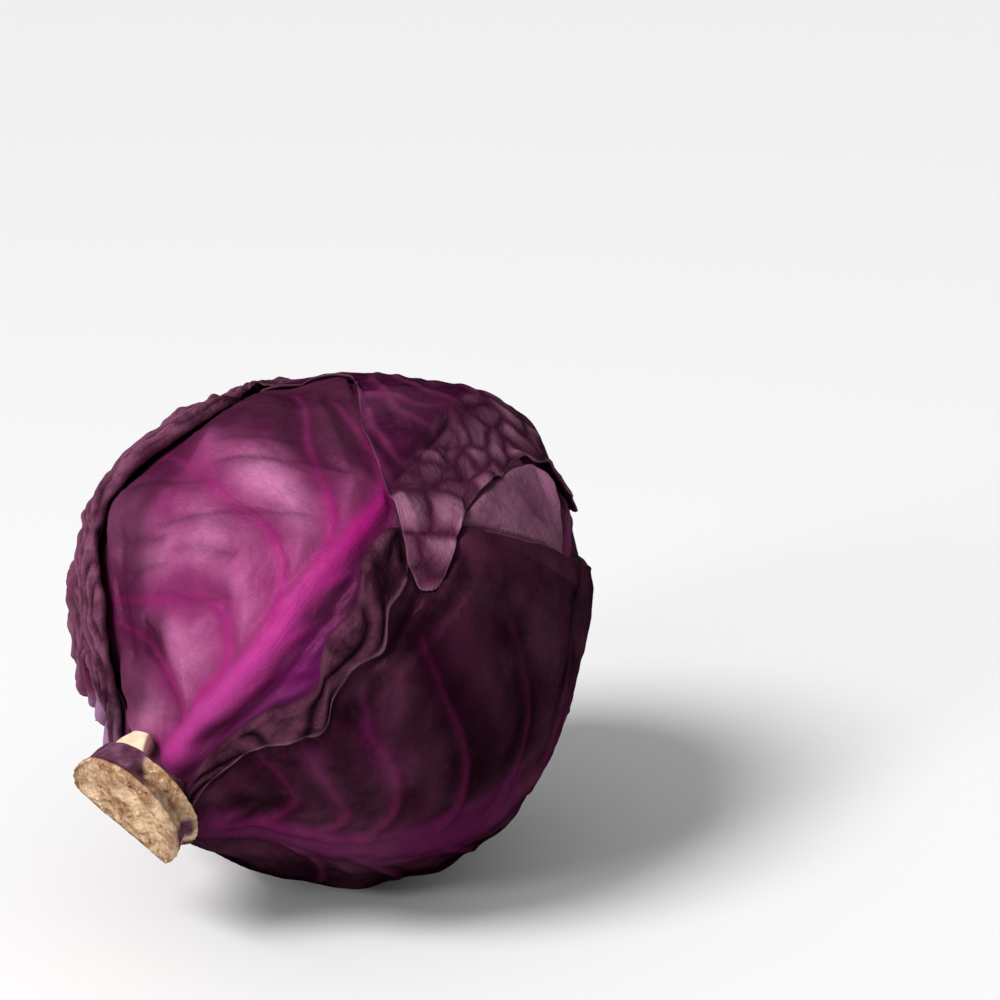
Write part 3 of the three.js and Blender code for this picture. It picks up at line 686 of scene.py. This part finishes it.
def leaf_mesh(leaf, k):
    """The closed shell of leaf number k with its relief, and the values that its material reads."""
    sheet = leaf_sheet(leaf)
    ways, across, strip, folded = sheet.ways, sheet.across, sheet.strip, sheet.folded
    dusty = region_share(leaf, "dusty", ways)
    open_share = openness(k, ways)
    rib, vein, swell, rib_relief = rib_and_veins(leaf, sheet)
    relief, shade_in_creases, puff = crumple(leaf, k, sheet, rib, swell, dusty)
    relief, shade_in_creases, puff = pleated(leaf, k, sheet, rib_relief + relief, shade_in_creases, puff)

    # Margins: lifted waves, scallops and a crinkled folded strip
    edge = smoothstep(across, 0.8, 1.0) * smoothstep(sheet.along, 0.0, 0.08) * (1 - folded)
    margin_wave = 0.4 + 1.5 * soft_noise(sheet.points, 0.022, 21 + k, 2)
    relief = relief + edge * leaf.get("margin_lift", 1.4) * MM * margin_wave
    furrow, strip_relief = strip_furrows(leaf, k, sheet)
    # Painted shade in the strip's furrows and painted light on its ridges
    shade_in_creases = np.maximum(shade_in_creases, (1 - furrow) ** 1.3 * folded * smoothstep(strip, 0.02, 0.12))
    puff = puff * (1 - folded) + furrow ** 1.5 * folded
    under_strip = 1 - smoothstep(sheet.inset, sheet.fold_size - 1 * MM, sheet.fold_size + 2 * MM)
    under_strip = under_strip * (sheet.fold_size > 2 * MM)
    relief = relief * open_share * (1 - folded) * (1 - UNDER_STRIP_CALM * under_strip)
    relief = np.maximum(relief, -OUTER_DIP)
    lift = sheet.height * np.maximum(open_share, 0.5)
    lift = lift + np.maximum(strip_relief + STRIP_RISE * folded, -STRIP_DIP) * open_share
    scallop = leaf["wave"] * soft_noise(sheet.points, 0.018, 31 + k, 2)
    scallop = scallop + 0.4 * soft_noise(sheet.points, 0.006, 32 + k, 1)
    strip_scallop = 1.1 * soft_noise(sheet.points, 0.034, 35 + k, 2) * smoothstep(strip, 0.3, 1.0)
    slide_out = (scallop * edge + strip_scallop) * MM * open_share

    # The outer and the inner sheet, thinner towards the margin
    base = drape_radius(k, ways) + leaf["thickness"] / 2
    half = leaf["thickness"] / 2 * (1 - 0.5 * np.maximum(smoothstep(across, 0.9, 1.0) * (1 - folded), strip))
    ways = unit(ways + sheet.towards * (slide_out / HEAD_RADIUS)[..., None])
    tilt = sheet.towards * (half * np.sin(sheet.slope) / HEAD_RADIUS)[..., None]
    rise = half * np.cos(sheet.slope)
    inner_relief = np.maximum(relief * INNER_SHARE, -INNER_DIP)
    outer = unit(ways - tilt) * (base + rise + lift + relief)[..., None] + HEAD_CENTRE
    inner = unit(ways + tilt) * (base - rise + lift + inner_relief)[..., None] + HEAD_CENTRE
    outer[..., 2] = np.maximum(outer[..., 2], 0.0)
    inner[..., 2] = np.maximum(inner[..., 2], FLAT_SPOT_LEAF)
    # A painted highlight along the free margins and the far edge of each folded strip
    rim = smoothstep(across, 0.975, 1.0) * (1 - folded) * (sheet.fold_size < 0.5 * MM)
    values = {
        "rib": rib, "vein": vein, "over": across * sheet.sign, "along": sheet.along, "shade_in_creases": shade_in_creases,
        "puff": puff, "turned": folded, "edge": np.maximum(rim, smoothstep(strip, 0.88, 1.0)),
        "dusty": dusty, "dark": region_share(leaf, "dark", ways),
        "violet": region_share(leaf, "violet", ways),
    }
    return outer, inner, values


def region_share(leaf, name, ways):
    """The strongest of a leaf's named regions at each way."""
    share = np.zeros(ways.shape[:-1])
    for rows, soft, strength in leaf.get(name, []):
        share = np.maximum(share, patch(ways, rows, soft * MM) * strength)
    return share


def new_piece(name, verts, faces, values):
    """A smooth object of the given points and faces, with named values on its points."""
    mesh = bpy.data.meshes.new(name)
    mesh.from_pydata(verts.tolist(), [], faces)
    mesh.update()
    mesh.shade_smooth()
    for key, value in values.items():
        attribute = mesh.attributes.new(key, "FLOAT", "POINT")
        attribute.data.foreach_set("value", value.astype(np.float32))
    piece = bpy.data.objects.new(name, mesh)
    bpy.context.collection.objects.link(piece)
    return piece


def shell_object(name, outer, inner, values):
    """Two sheets split alike, joined by a rim into one closed mesh, with the values on its points."""
    rows, columns = outer.shape[:2]
    verts = np.concatenate([outer.reshape(-1, 3), inner.reshape(-1, 3)])
    count = rows * columns
    index = np.arange(count).reshape(rows, columns)
    a, b, c, d = index[:-1, :-1], index[1:, :-1], index[1:, 1:], index[:-1, 1:]
    outer_quads = np.stack([a, b, c, d], -1).reshape(-1, 4)
    inner_quads = np.stack([a, d, c, b], -1).reshape(-1, 4) + count
    rim = np.concatenate([index[0, :], index[1:, -1], index[-1, -2::-1], index[-2:0:-1, 0]])
    following = np.roll(rim, -1)
    rim_quads = np.stack([rim, following, following + count, rim + count], -1)
    quads = np.concatenate([outer_quads, inner_quads, rim_quads])
    centre = verts[quads].mean(1)
    normal = np.cross(verts[quads[:, 2]] - verts[quads[:, 0]], verts[quads[:, 3]] - verts[quads[:, 1]])
    if np.sum(centre * normal) - np.sum(HEAD_CENTRE * normal) < 0:
        quads = quads[:, ::-1]
    both = {key: np.tile(value.ravel(), 2) for key, value in values.items()}
    return new_piece(name, verts, quads.tolist(), both)


# Materials

def colour(red, green, blue):
    """A linear colour from the 0 to 255 numbers that a colour picker gives."""
    def linear(value):
        value /= 255
        return value / 12.92 if value <= 0.04045 else ((value + 0.055) / 1.055) ** 2.4
    return (linear(red), linear(green), linear(blue), 1.0)


# The sockets of a Mix node for colours
FACTOR = 0
COLOUR_A = 6
COLOUR_B = 7
MIXED_COLOUR = 2


class Nodes:
    """Short calls for a material's nodes and links."""

    def __init__(self, name):
        self.material = bpy.data.materials.new(name)
        self.material.use_nodes = True
        self.tree = self.material.node_tree
        self.shader = self.tree.nodes["Principled BSDF"]

    def feed(self, socket, value):
        if isinstance(value, (int, float, tuple)):
            socket.default_value = value
        else:
            self.tree.links.new(value, socket)

    def node(self, kind, inputs, **settings):
        """A new node with its settings, and for each named input a number, a colour or a node's output."""
        made = self.tree.nodes.new(kind)
        for key, value in settings.items():
            setattr(made, key, value)
        for key, value in inputs.items():
            self.feed(made.inputs[key], value)
        return made

    def value(self, name):
        return self.node("ShaderNodeAttribute", {}, attribute_name=name).outputs["Fac"]

    def place(self):
        return self.node("ShaderNodeTexCoord", {}).outputs["Object"]

    def math(self, operation, first, second=0.0, clamp=False):
        inputs = {0: first, 1: second}
        return self.node("ShaderNodeMath", inputs, operation=operation, use_clamp=clamp).outputs[0]

    def ramp(self, source, low, high):
        """0 at low, 1 at high."""
        inputs = {"Value": source, "From Min": low, "From Max": high}
        return self.node("ShaderNodeMapRange", inputs, interpolation_type="SMOOTHSTEP").outputs["Result"]

    def noise(self, scale, detail=4.0, roughness=0.55, distortion=0.0):
        inputs = {
            "Vector": self.place(), "Scale": scale, "Detail": detail, "Roughness": roughness,
            "Distortion": distortion,
        }
        return self.node("ShaderNodeTexNoise", inputs).outputs["Fac"]

    def grain(self, across, along):
        """Streaks that follow the leaf: noise stretched by scales across it and along it."""
        place = self.node("ShaderNodeCombineXYZ", {
            "X": self.math("MULTIPLY", self.value("over"), across),
            "Y": self.math("MULTIPLY", self.value("along"), along),
        })
        inputs = {"Vector": place.outputs[0], "Scale": 1.0, "Detail": 3.0}
        return self.node("ShaderNodeTexNoise", inputs).outputs["Fac"]

    def web(self, scale):
        """Distance to the borders of small cells, as in the finest veins."""
        inputs = {"Vector": self.place(), "Scale": scale}
        return self.node("ShaderNodeTexVoronoi", inputs, feature="DISTANCE_TO_EDGE").outputs["Distance"]

    def mix(self, share, first, second):
        inputs = {FACTOR: share, COLOUR_A: first, COLOUR_B: second}
        return self.node("ShaderNodeMix", inputs, data_type="RGBA").outputs[MIXED_COLOUR]

    def tint(self, base, share, strength, shade):
        """Lays a colour over the base, as strong as the share times a strength."""
        return self.mix(self.math("MULTIPLY", share, strength), base, shade)

    def bump(self, source, strength, distance, normal=None):
        inputs = {"Height": source, "Strength": strength, "Distance": distance}
        if normal is not None:
            inputs["Normal"] = normal
        return self.node("ShaderNodeBump", inputs).outputs["Normal"]


def leaf_material(name, look):
    """Skin with veins, rib, creases, folds, darker, violet and dusty regions, wax bloom and fine fibres.
    Painted light and shade: lighter tops of bulges and crests, darker creases, furrows and blister borders,
    lighter rims and highlight streaks, and darker regions that are partly painted shade.

    A number beside a value is the strength of its layer. Those of a ramp are where it starts and is full.
    """
    n = Nodes(name)
    broad = n.noise(18, 3)
    blotch = n.noise(55, 4, 0.6, 0.8)
    fine = n.noise(240, 5, 0.65)
    fibre = n.grain(34, 260)
    rib_grain = n.grain(90, 9)
    web_line = n.math("SUBTRACT", 1.0, n.ramp(n.web(260), 0.0, 0.14), True)
    over = n.math("ABSOLUTE", n.value("over"))
    # Painted light: the lighter colour on the tops of bulges and crests, in random patches
    base = n.mix(n.math("MULTIPLY", n.value("puff"), n.ramp(broad, 0.3, 0.6)), look["middle"], look["light"])
    base = n.tint(base, n.ramp(blotch, 0.4, 0.75), 0.35, look["dark"])
    base = n.tint(base, n.ramp(over, 0.55, 1.0), look["edge_dark"], look["dark"])
    base = n.tint(base, n.ramp(fibre, 0.35, 0.7), 0.16, look["dark"])
    base = n.tint(base, web_line, 0.12, look["vein"])
    base = n.tint(base, n.value("vein"), 0.9, look["vein"])
    rib_colour = n.mix(n.ramp(n.value("along"), 0.25, 0.6), look["rib"], look["vein"])
    rib_colour = n.tint(rib_colour, n.ramp(rib_grain, 0.4, 0.7), 0.4, look["vein"])
    base = n.tint(base, n.value("rib"), look["rib_share"], rib_colour)
    base = n.tint(base, n.value("violet"), look["violet_share"], look["violet"])
    # Darker regions: partly the leaf's own darker tone, partly painted shade; the veins stay lighter
    beside_veins = n.math("SUBTRACT", 1.0, n.math("MULTIPLY", n.value("vein"), 0.85))
    tone_and_shade_share = n.math("MULTIPLY", n.math("MULTIPLY", n.value("dark"), 0.92), beside_veins)
    base = n.mix(tone_and_shade_share, base, look["deep_tone_and_shade"])
    # Dusty wax bloom, lighter on the tops of blisters and darker at their borders: painted light and shade
    dust_share = n.math("MULTIPLY", n.value("puff"), n.ramp(blotch, 0.2, 0.52))
    base = n.tint(base, n.value("dusty"), 0.9, n.mix(dust_share, look["dust_dark_and_shade"], look["dust"]))
    bloom = n.math("MULTIPLY", n.ramp(n.noise(30, 5, 0.62), 0.42, 0.7), look["bloom"])
    base = n.mix(bloom, base, look["wax"])
    # Underside of the folded strips, lighter on its ridges and darker in its furrows: painted light and shade
    under_share = n.math("MULTIPLY", n.value("puff"), n.ramp(blotch, 0.7, 0.4))
    base = n.tint(base, n.value("turned"), 0.9, n.mix(under_share, look["under_dark_and_shade"], look["under"]))
    # Painted shade in creases, grooves, cell borders, pleat valleys and strip furrows
    base = n.tint(base, n.value("shade_in_creases"), 0.8, look["shade_in_creases"])
    # Painted highlight along the margins and the folded strips' far edges
    base = n.tint(base, n.value("edge"), 0.35, look["rim"])
    # Painted highlight streaks in the wax colour
    base = n.tint(base, n.ramp(n.grain(16, 420), 0.68, 0.76), look["highlight_streaks"], look["wax"])
    n.feed(n.shader.inputs["Base Color"], base)
    rough = n.math("ADD", n.math("MULTIPLY", bloom, 0.3), n.math("MULTIPLY", fine, 0.2))
    rough = n.math("ADD", rough, n.math("MULTIPLY", n.value("dusty"), 0.1))
    rough = n.math("ADD", rough, n.math("MULTIPLY", n.value("turned"), 0.12))
    n.feed(n.shader.inputs["Roughness"], n.math("ADD", rough, look["rough"]))
    n.feed(n.shader.inputs["Specular IOR Level"], 0.3)
    n.feed(n.shader.inputs["Specular Tint"], look["shine"])
    normal = n.bump(web_line, 0.18, 0.0002)
    normal = n.bump(fibre, 0.22, 0.0004, normal)
    normal = n.bump(blotch, 0.35, 0.0016, normal)
    normal = n.bump(n.math("MULTIPLY", rib_grain, n.value("rib")), 0.3, 0.0008, normal)
    folds = n.math("MULTIPLY", n.noise(150, 4, 0.6, 2.5), n.math("ADD", n.value("turned"), n.value("dusty")))
    normal = n.bump(folds, 0.55, 0.0016, normal)
    normal = n.bump(fine, 0.25, 0.0003, normal)
    n.feed(n.shader.inputs["Normal"], normal)
    return n.material


# Painted light and shade in these looks: the lighter colour is painted light on the tops of bulges and
# crests; the crease colour and the darker dust and underside colours are painted shade in creases, furrows
# and between blisters; the rim colour is a painted highlight along margins and fold crests; the streaks  are
# painted highlights; the colour of the darker regions is partly the leaf's own tone, partly shade.
PLAIN_LOOK = dict(
    dark=colour(54, 14, 38), middle=colour(78, 26, 56), light=colour(108, 58, 84), vein=colour(124, 38, 92),
    rib=colour(132, 56, 104), rib_share=0.8, violet=colour(86, 16, 70), violet_share=0.9,
    deep_tone_and_shade=colour(40, 8, 28),
    dust=colour(138, 96, 118), dust_dark_and_shade=colour(70, 30, 50), wax=colour(128, 92, 110), bloom=0.35,
    under=colour(92, 52, 70), under_dark_and_shade=colour(44, 16, 30), shade_in_creases=colour(24, 4, 15),
    rim=colour(150, 104, 116),
    shine=colour(216, 110, 170), edge_dark=0.2, rough=0.3, highlight_streaks=0.0,
)
LOOKS = {
    "leaf_inner_right": dict(PLAIN_LOOK, bloom=0.5),
    "leaf_inner_back": PLAIN_LOOK,
    "leaf_front": dict(
        PLAIN_LOOK, dark=colour(88, 22, 62), middle=colour(132, 42, 97), light=colour(202, 128, 172),
        vein=colour(150, 22, 106), rib=colour(164, 52, 128), rib_share=0.92, violet=colour(84, 12, 74),
        deep_tone_and_shade=colour(60, 16, 40), bloom=0.08, shade_in_creases=colour(56, 8, 38), rough=0.32,
        dust=colour(126, 82, 104),
    ),
    "leaf_back": dict(PLAIN_LOOK, middle=colour(92, 32, 68)),
    "leaf_lower": dict(
        PLAIN_LOOK, dark=colour(26, 5, 17), middle=colour(38, 9, 25), light=colour(86, 40, 62),
        vein=colour(88, 14, 58), rib=colour(84, 12, 62), violet=colour(80, 12, 60),
        deep_tone_and_shade=colour(24, 4, 15), bloom=0.25, rough=0.27, highlight_streaks=0.25, under=colour(84, 46, 63),
        under_dark_and_shade=colour(34, 13, 22), shade_in_creases=colour(18, 3, 11), wax=colour(104, 60, 82),
    ),
    "leaf_top": dict(
        PLAIN_LOOK, dark=colour(46, 8, 33), middle=colour(60, 13, 43), light=colour(76, 26, 58),
        vein=colour(104, 36, 78), rib_share=0.3, bloom=0.08, rough=0.28, highlight_streaks=0.3,
        dust=colour(162, 109, 137), dust_dark_and_shade=colour(82, 34, 59), rim=colour(124, 80, 98),
    ),
    "leaf_side": dict(
        PLAIN_LOOK, dark=colour(50, 14, 32), middle=colour(82, 36, 56), light=colour(144, 92, 118),
        vein=colour(120, 40, 84), rib=colour(120, 78, 100), bloom=0.25, under=colour(116, 70, 92),
        under_dark_and_shade=colour(44, 14, 28), wax=colour(132, 96, 114), violet=colour(150, 112, 148),
    ),
}


def dress(piece, node, material):
    """Gives a piece its material, hangs it under the root body and hides the solid that it stands for."""
    piece.data.materials.append(material)
    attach(piece, "root")
    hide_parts(node)


def make_leaves():
    for leaf in LEAVES:
        prepare_leaf(leaf)
    for k, leaf in enumerate(LEAVES):
        outer, inner, values = leaf_mesh(leaf, k)
        piece = shell_object(leaf["name"] + "_look", outer, inner, values)
        dress(piece, leaf["name"], leaf_material(leaf["name"], LOOKS[leaf["name"]]))


# The stem: neck, raised leaf scars and a D-shaped cut face
STEM_START = 76.4 * MM
STEM_LENGTH = 22 * MM
STEM_OFFSET_TOP = 7.5 * MM
STEM_OFFSET_SIDE = -3.6 * MM
STEM_NECK_RADIUS = 15 * MM
CUT_LONG_RADIUS = 20.5 * MM
CUT_ROUND_RADIUS = 26 * MM
CUT_STRAIGHT_RADIUS = 10.5 * MM
CUT_ROUND_TURN = 40
# Shares of the stem's length, and how far its outline is there from the neck's circle to the cut's shape
STEM_ALONG = (0.0, 0.3, 0.46, 0.56, 0.64, 0.72, 0.84, 0.94, 1.0)
STEM_FLARE = (0.0, 0.05, 0.25, 0.85, 0.7, 0.45, 0.75, 1.0, 0.95)
STEM_SIDES = 220
STEM_RINGS = 90
CUT_RINGS = 40


def stem_frame():
    """The point on the stem's axis at a share of its length, and the two directions across it."""
    round_turn = math.radians(CUT_ROUND_TURN)
    round_way = math.cos(round_turn) * TOP_AXIS + math.sin(round_turn) * SIDE_AXIS
    long_way = np.cross(STEM_AXIS, round_way)
    offset = STEM_OFFSET_TOP * TOP_AXIS + STEM_OFFSET_SIDE * SIDE_AXIS

    def axis_point(along):
        return HEAD_CENTRE + STEM_AXIS * (STEM_START + STEM_LENGTH * along) + offset * (0.55 + 0.45 * along)

    return axis_point, round_way, long_way


def span(value, low, high, soft):
    """1 between low and high, fading to 0 outside."""
    return smoothstep(value, low - soft, low + soft) * (1 - smoothstep(value, high - soft, high + soft))


def make_stem():
    """The stump: rough cut face, a purple strip of leaf base, a cream wedge and a tan scar behind it."""
    axis_point, round_way, long_way = stem_frame()
    turns = np.linspace(-math.pi, math.pi, STEM_SIDES, endpoint=False)
    degrees = np.degrees(turns)
    nothing = np.zeros(STEM_SIDES)
    rings, cut, skin, cream = [], [], [], []
    for along in np.linspace(0, 1, STEM_RINGS):
        # Places on the skin are turns in degrees round the stem and distances back from the cut face in mm
        back = STEM_LENGTH / MM * (1 - along)
        band = span(degrees, 12, 74, 5) * span(back, 1.6, 11, 0.7)
        narrowing = max(back - 11, 0)
        wedge = span(degrees, 20 + 2.2 * narrowing, 80 - 2.0 * narrowing, 3) * span(back, 11, 19, 0.6)
        sliver = span(degrees, -12 + 3 * back, 22, 3) * span(back, 1.8, 6.4, 0.6)
        dark = span(degrees, -84, -58, 5) * span(back, 1.2, 8.5, 0.8)
        rest = smoothstep(back, 11.5, 13.5) * (1 - wedge)
        under = (span(degrees, -190, -96, 6) + span(degrees, 86, 190, 6)) * span(back, 4, 30, 1)
        flare = np.interp(along, STEM_ALONG, STEM_FLARE)
        flare = np.maximum(flare, 0.86 * np.maximum(band, 0.8 * wedge))
        cut_across = np.maximum(CUT_ROUND_RADIUS * np.cos(turns), -CUT_STRAIGHT_RADIUS)
        across = STEM_NECK_RADIUS * np.cos(turns) * (1 - flare) + cut_across * flare
        sideways = (STEM_NECK_RADIUS * (1 - flare) + CUT_LONG_RADIUS * flare) * np.sin(turns)
        ring = axis_point(along) + across[:, None] * round_way + sideways[:, None] * long_way
        out = unit(ring - axis_point(along))
        rough = 0.5 * soft_noise(ring, 0.012, 5) + 0.3 * soft_noise(ring, 0.004, 6) * (1 - band) * (1 - wedge)
        rough = rough + 0.7 * band + 0.5 * wedge + 0.5 * sliver
        rings.append(ring + out * (rough * MM)[:, None])
        cut.append(nothing)
        skin.append(np.clip(band + sliver + dark + rest + under, 0, 1))
        cream.append(wedge)
    rim = rings[-1]
    centre = axis_point(1.0)
    for share in np.linspace(0.97, 0.03, CUT_RINGS):
        ring = centre + (rim - centre) * share
        pits = 0.7 * soft_noise(ring, 0.012, 8) + 0.5 * soft_noise(ring, 0.004, 9)
        pits = pits + 0.25 * soft_noise(ring, 0.0018, 10)
        rim_drop = -1.1 * smoothstep(share, 0.86, 1.0)
        rings.append(ring + STEM_AXIS * (pits * min(1, (1 - share) * 12) + rim_drop)[:, None] * MM)
        cut.append(nothing + 1)
        skin.append(nothing)
        cream.append(nothing)
    rings = np.array(rings)
    values = {"cut": cut, "skin": skin, "cream": cream}
    ends = [axis_point(0.0), centre]
    piece = tube_object("stem_look", rings, ends, {k: np.concatenate(v) for k, v in values.items()})
    dress(piece, "stem", stem_material())


def tube_object(name, rings, ends, values):
    """A closed mesh of rings of points, with a fan to a point at each end, and the values on its points."""
    count, sides = rings.shape[:2]
    verts = np.concatenate([rings.reshape(-1, 3), ends])
    index = np.arange(count * sides).reshape(count, sides)
    following = np.roll(index, -1, axis=1)
    quads = np.stack([index[:-1], following[:-1], following[1:], index[1:]], -1).reshape(-1, 4)
    faces = quads.tolist()
    faces += [(count * sides, int(b), int(a)) for a, b in zip(index[0], following[0])]
    faces += [(count * sides + 1, int(a), int(b)) for a, b in zip(index[-1], following[-1])]
    all_values = {key: np.append(value, [0.0, 0.0]) for key, value in values.items()}
    return new_piece(name, verts, faces, all_values)


def stem_material():
    """Rough tan wood on the cut, purple skin round it and a smooth cream wedge."""
    n = Nodes("stem")
    blotch = n.noise(90, 5, 0.65, 0.6)
    grit = n.noise(420, 4, 0.7)
    fibre = n.noise(1000, 3, 0.6)
    base = n.mix(n.ramp(blotch, 0.38, 0.62), colour(158, 116, 82), colour(216, 182, 146))
    base = n.mix(n.ramp(grit, 0.56, 0.72), base, colour(232, 208, 174))
    dark_spots = n.math("MULTIPLY", n.ramp(grit, 0.46, 0.36), n.ramp(blotch, 0.55, 0.4))
    base = n.mix(dark_spots, base, colour(92, 58, 34))
    skin = n.mix(n.ramp(blotch, 0.35, 0.65), colour(78, 34, 58), colour(120, 76, 98))
    base = n.mix(n.value("skin"), base, skin)
    cream = n.mix(n.ramp(blotch, 0.4, 0.7), colour(248, 232, 204), colour(236, 212, 176))
    base = n.mix(n.value("cream"), base, cream)
    n.feed(n.shader.inputs["Base Color"], base)
    smooth = n.math("MAXIMUM", n.value("skin"), n.value("cream"))
    n.feed(n.shader.inputs["Roughness"], n.math("SUBTRACT", 0.82, n.math("MULTIPLY", smooth, 0.4)))
    n.feed(n.shader.inputs["Specular IOR Level"], 0.35)
    bare = n.math("SUBTRACT", 1.0, smooth, True)
    normal = n.bump(n.math("MULTIPLY", grit, bare), 0.9, 0.0012)
    normal = n.bump(n.math("MULTIPLY", fibre, bare), 0.5, 0.0005, normal)
    n.feed(n.shader.inputs["Normal"], normal)
    return n.material


HEART_RINGS = 110
HEART_SIDES = 200
HEART_CELL = 14 * MM


def make_heart():
    """The dense inner head, seen only where the wrapper leaves part."""
    reach = np.repeat(np.linspace(1, 179, HEART_RINGS)[:, None], HEART_SIDES, 1)
    turn = np.repeat(np.linspace(0, 360, HEART_SIDES, endpoint=False)[None, :], HEART_RINGS, 0)
    ways = direction(reach, turn)
    border = cells(ways, HEART_CELL, 90)
    puff = 1 - np.exp(-((border / (4 * MM)) ** 2))
    base = BASE_LIFT * (1 - smoothstep(reach, BASE_FROM, BASE_TO))
    rings = ways * (heart_radius(ways) - 0.9 * MM + 0.7 * MM * puff + 0.8 * base)[..., None] + HEAD_CENTRE
    ends = [rings[0].mean(0), rings[-1].mean(0)]
    # The cell borders get painted shade, and the puffs also drive the painted light on the bulges
    values = {"puff": puff, "shade_in_creases": np.exp(-((border / (0.6 * MM)) ** 2)), "along": reach / 180}
    piece = tube_object("heart_look", rings, ends, values)
    dress(piece, "heart", leaf_material("heart", PLAIN_LOOK))


# Camera, floor and light
CAMERA_AZIMUTH = -45
CAMERA_ELEVATION = 20
LENS = 85
SENSOR = 36
PHOTO_WIDTH = 1000
MM_PER_PIXEL = 0.328
ANCHOR_PIXEL = (324, 626)
CENTRE_RIGHT_OF_ANCHOR = 4.1 * MM
CENTRE_ABOVE_ANCHOR = 2.8 * MM


def camera_axes():
    """Unit vectors from the head to the camera, to the image's right and to its top."""
    azimuth = math.radians(CAMERA_AZIMUTH)
    elevation = math.radians(CAMERA_ELEVATION)
    back = np.array([
        math.sin(azimuth) * math.cos(elevation),
        -math.cos(azimuth) * math.cos(elevation),
        math.sin(elevation),
    ])
    right = np.array([math.cos(azimuth), math.sin(azimuth), 0.0])
    return back, right, np.cross(right, -back)


def make_camera():
    """The photograph's view: the anchor beside the head's centre shows at the anchor's pixel."""
    back, right, up = camera_axes()
    pixel = MM_PER_PIXEL * MM
    distance = pixel * PHOTO_WIDTH * LENS / SENSOR
    anchor = HEAD_CENTRE - CENTRE_RIGHT_OF_ANCHOR * right - CENTRE_ABOVE_ANCHOR * up
    aim_x = (PHOTO_WIDTH / 2 - ANCHOR_PIXEL[0]) * pixel
    aim_y = (PHOTO_WIDTH / 2 - ANCHOR_PIXEL[1]) * pixel
    data = bpy.data.cameras.new("camera")
    data.lens = LENS
    data.sensor_width = SENSOR
    data.clip_start = 0.05
    camera = bpy.data.objects.new("camera", data)
    bpy.context.collection.objects.link(camera)
    camera.location = anchor + back * distance
    look_at(camera, anchor + aim_x * right - aim_y * up)
    bpy.context.scene.camera = camera
    bpy.context.scene.view_settings.view_transform = "Standard"


def look_at(thing, target):
    way = Vector(target) - Vector(thing.location)
    thing.rotation_euler = way.to_track_quat("-Z", "Y").to_euler()


FLOOR_REACH = 6.0
FLOOR_SHADE = (0.88, 0.88, 0.88, 1)
WORLD_STRENGTH = 0.4


def make_stage():
    """A pale floor under a plain white world. Neither shows in gloss, which keeps the dark leaves dark."""
    corners = [(x * FLOOR_REACH, y * FLOOR_REACH, 0) for x, y in ((-1, -1), (1, -1), (1, 1), (-1, 1))]
    mesh = bpy.data.meshes.new("floor")
    mesh.from_pydata(corners, [], [(0, 1, 2, 3)])
    floor = bpy.data.objects.new("floor", mesh)
    bpy.context.collection.objects.link(floor)
    n = Nodes("floor")
    n.feed(n.shader.inputs["Base Color"], FLOOR_SHADE)
    n.feed(n.shader.inputs["Roughness"], 0.9)
    mesh.materials.append(n.material)
    floor.visible_glossy = False
    world = bpy.data.worlds.new("soft studio")
    bpy.context.scene.world = world
    world.use_nodes = True
    background = world.node_tree.nodes["Background"]
    background.inputs["Color"].default_value = (1, 1, 1, 1)
    background.inputs["Strength"].default_value = WORLD_STRENGTH
    world.cycles_visibility.glossy = False


def add_light(name, kind, place, size, strength):
    """A soft light at so many metres from the head to the image's right, towards the camera and up.

    A sun's size is its angle in degrees, an area's size its side in metres and its strength is in watts.
    """
    back, right, _ = camera_axes()
    level = unit(np.array([back[0], back[1], 0.0]))
    data = bpy.data.lights.new(name, kind)
    if kind == "SUN":
        data.angle = math.radians(size)
    else:
        data.shape = "SQUARE"
        data.size = size
    data.energy = strength
    light = bpy.data.objects.new(name, data)
    bpy.context.collection.objects.link(light)
    light.location = HEAD_CENTRE + place[0] * right + place[1] * level + np.array([0.0, 0.0, place[2]])
    look_at(light, HEAD_CENTRE)


make_leaves()
make_stem()
make_heart()
make_stage()
make_camera()
add_light("key", "SUN", (-0.9, 0.6, 1.2), 24, 2.7)
add_light("side", "AREA", (-0.9, 0.9, 0.5), 0.25, 5)
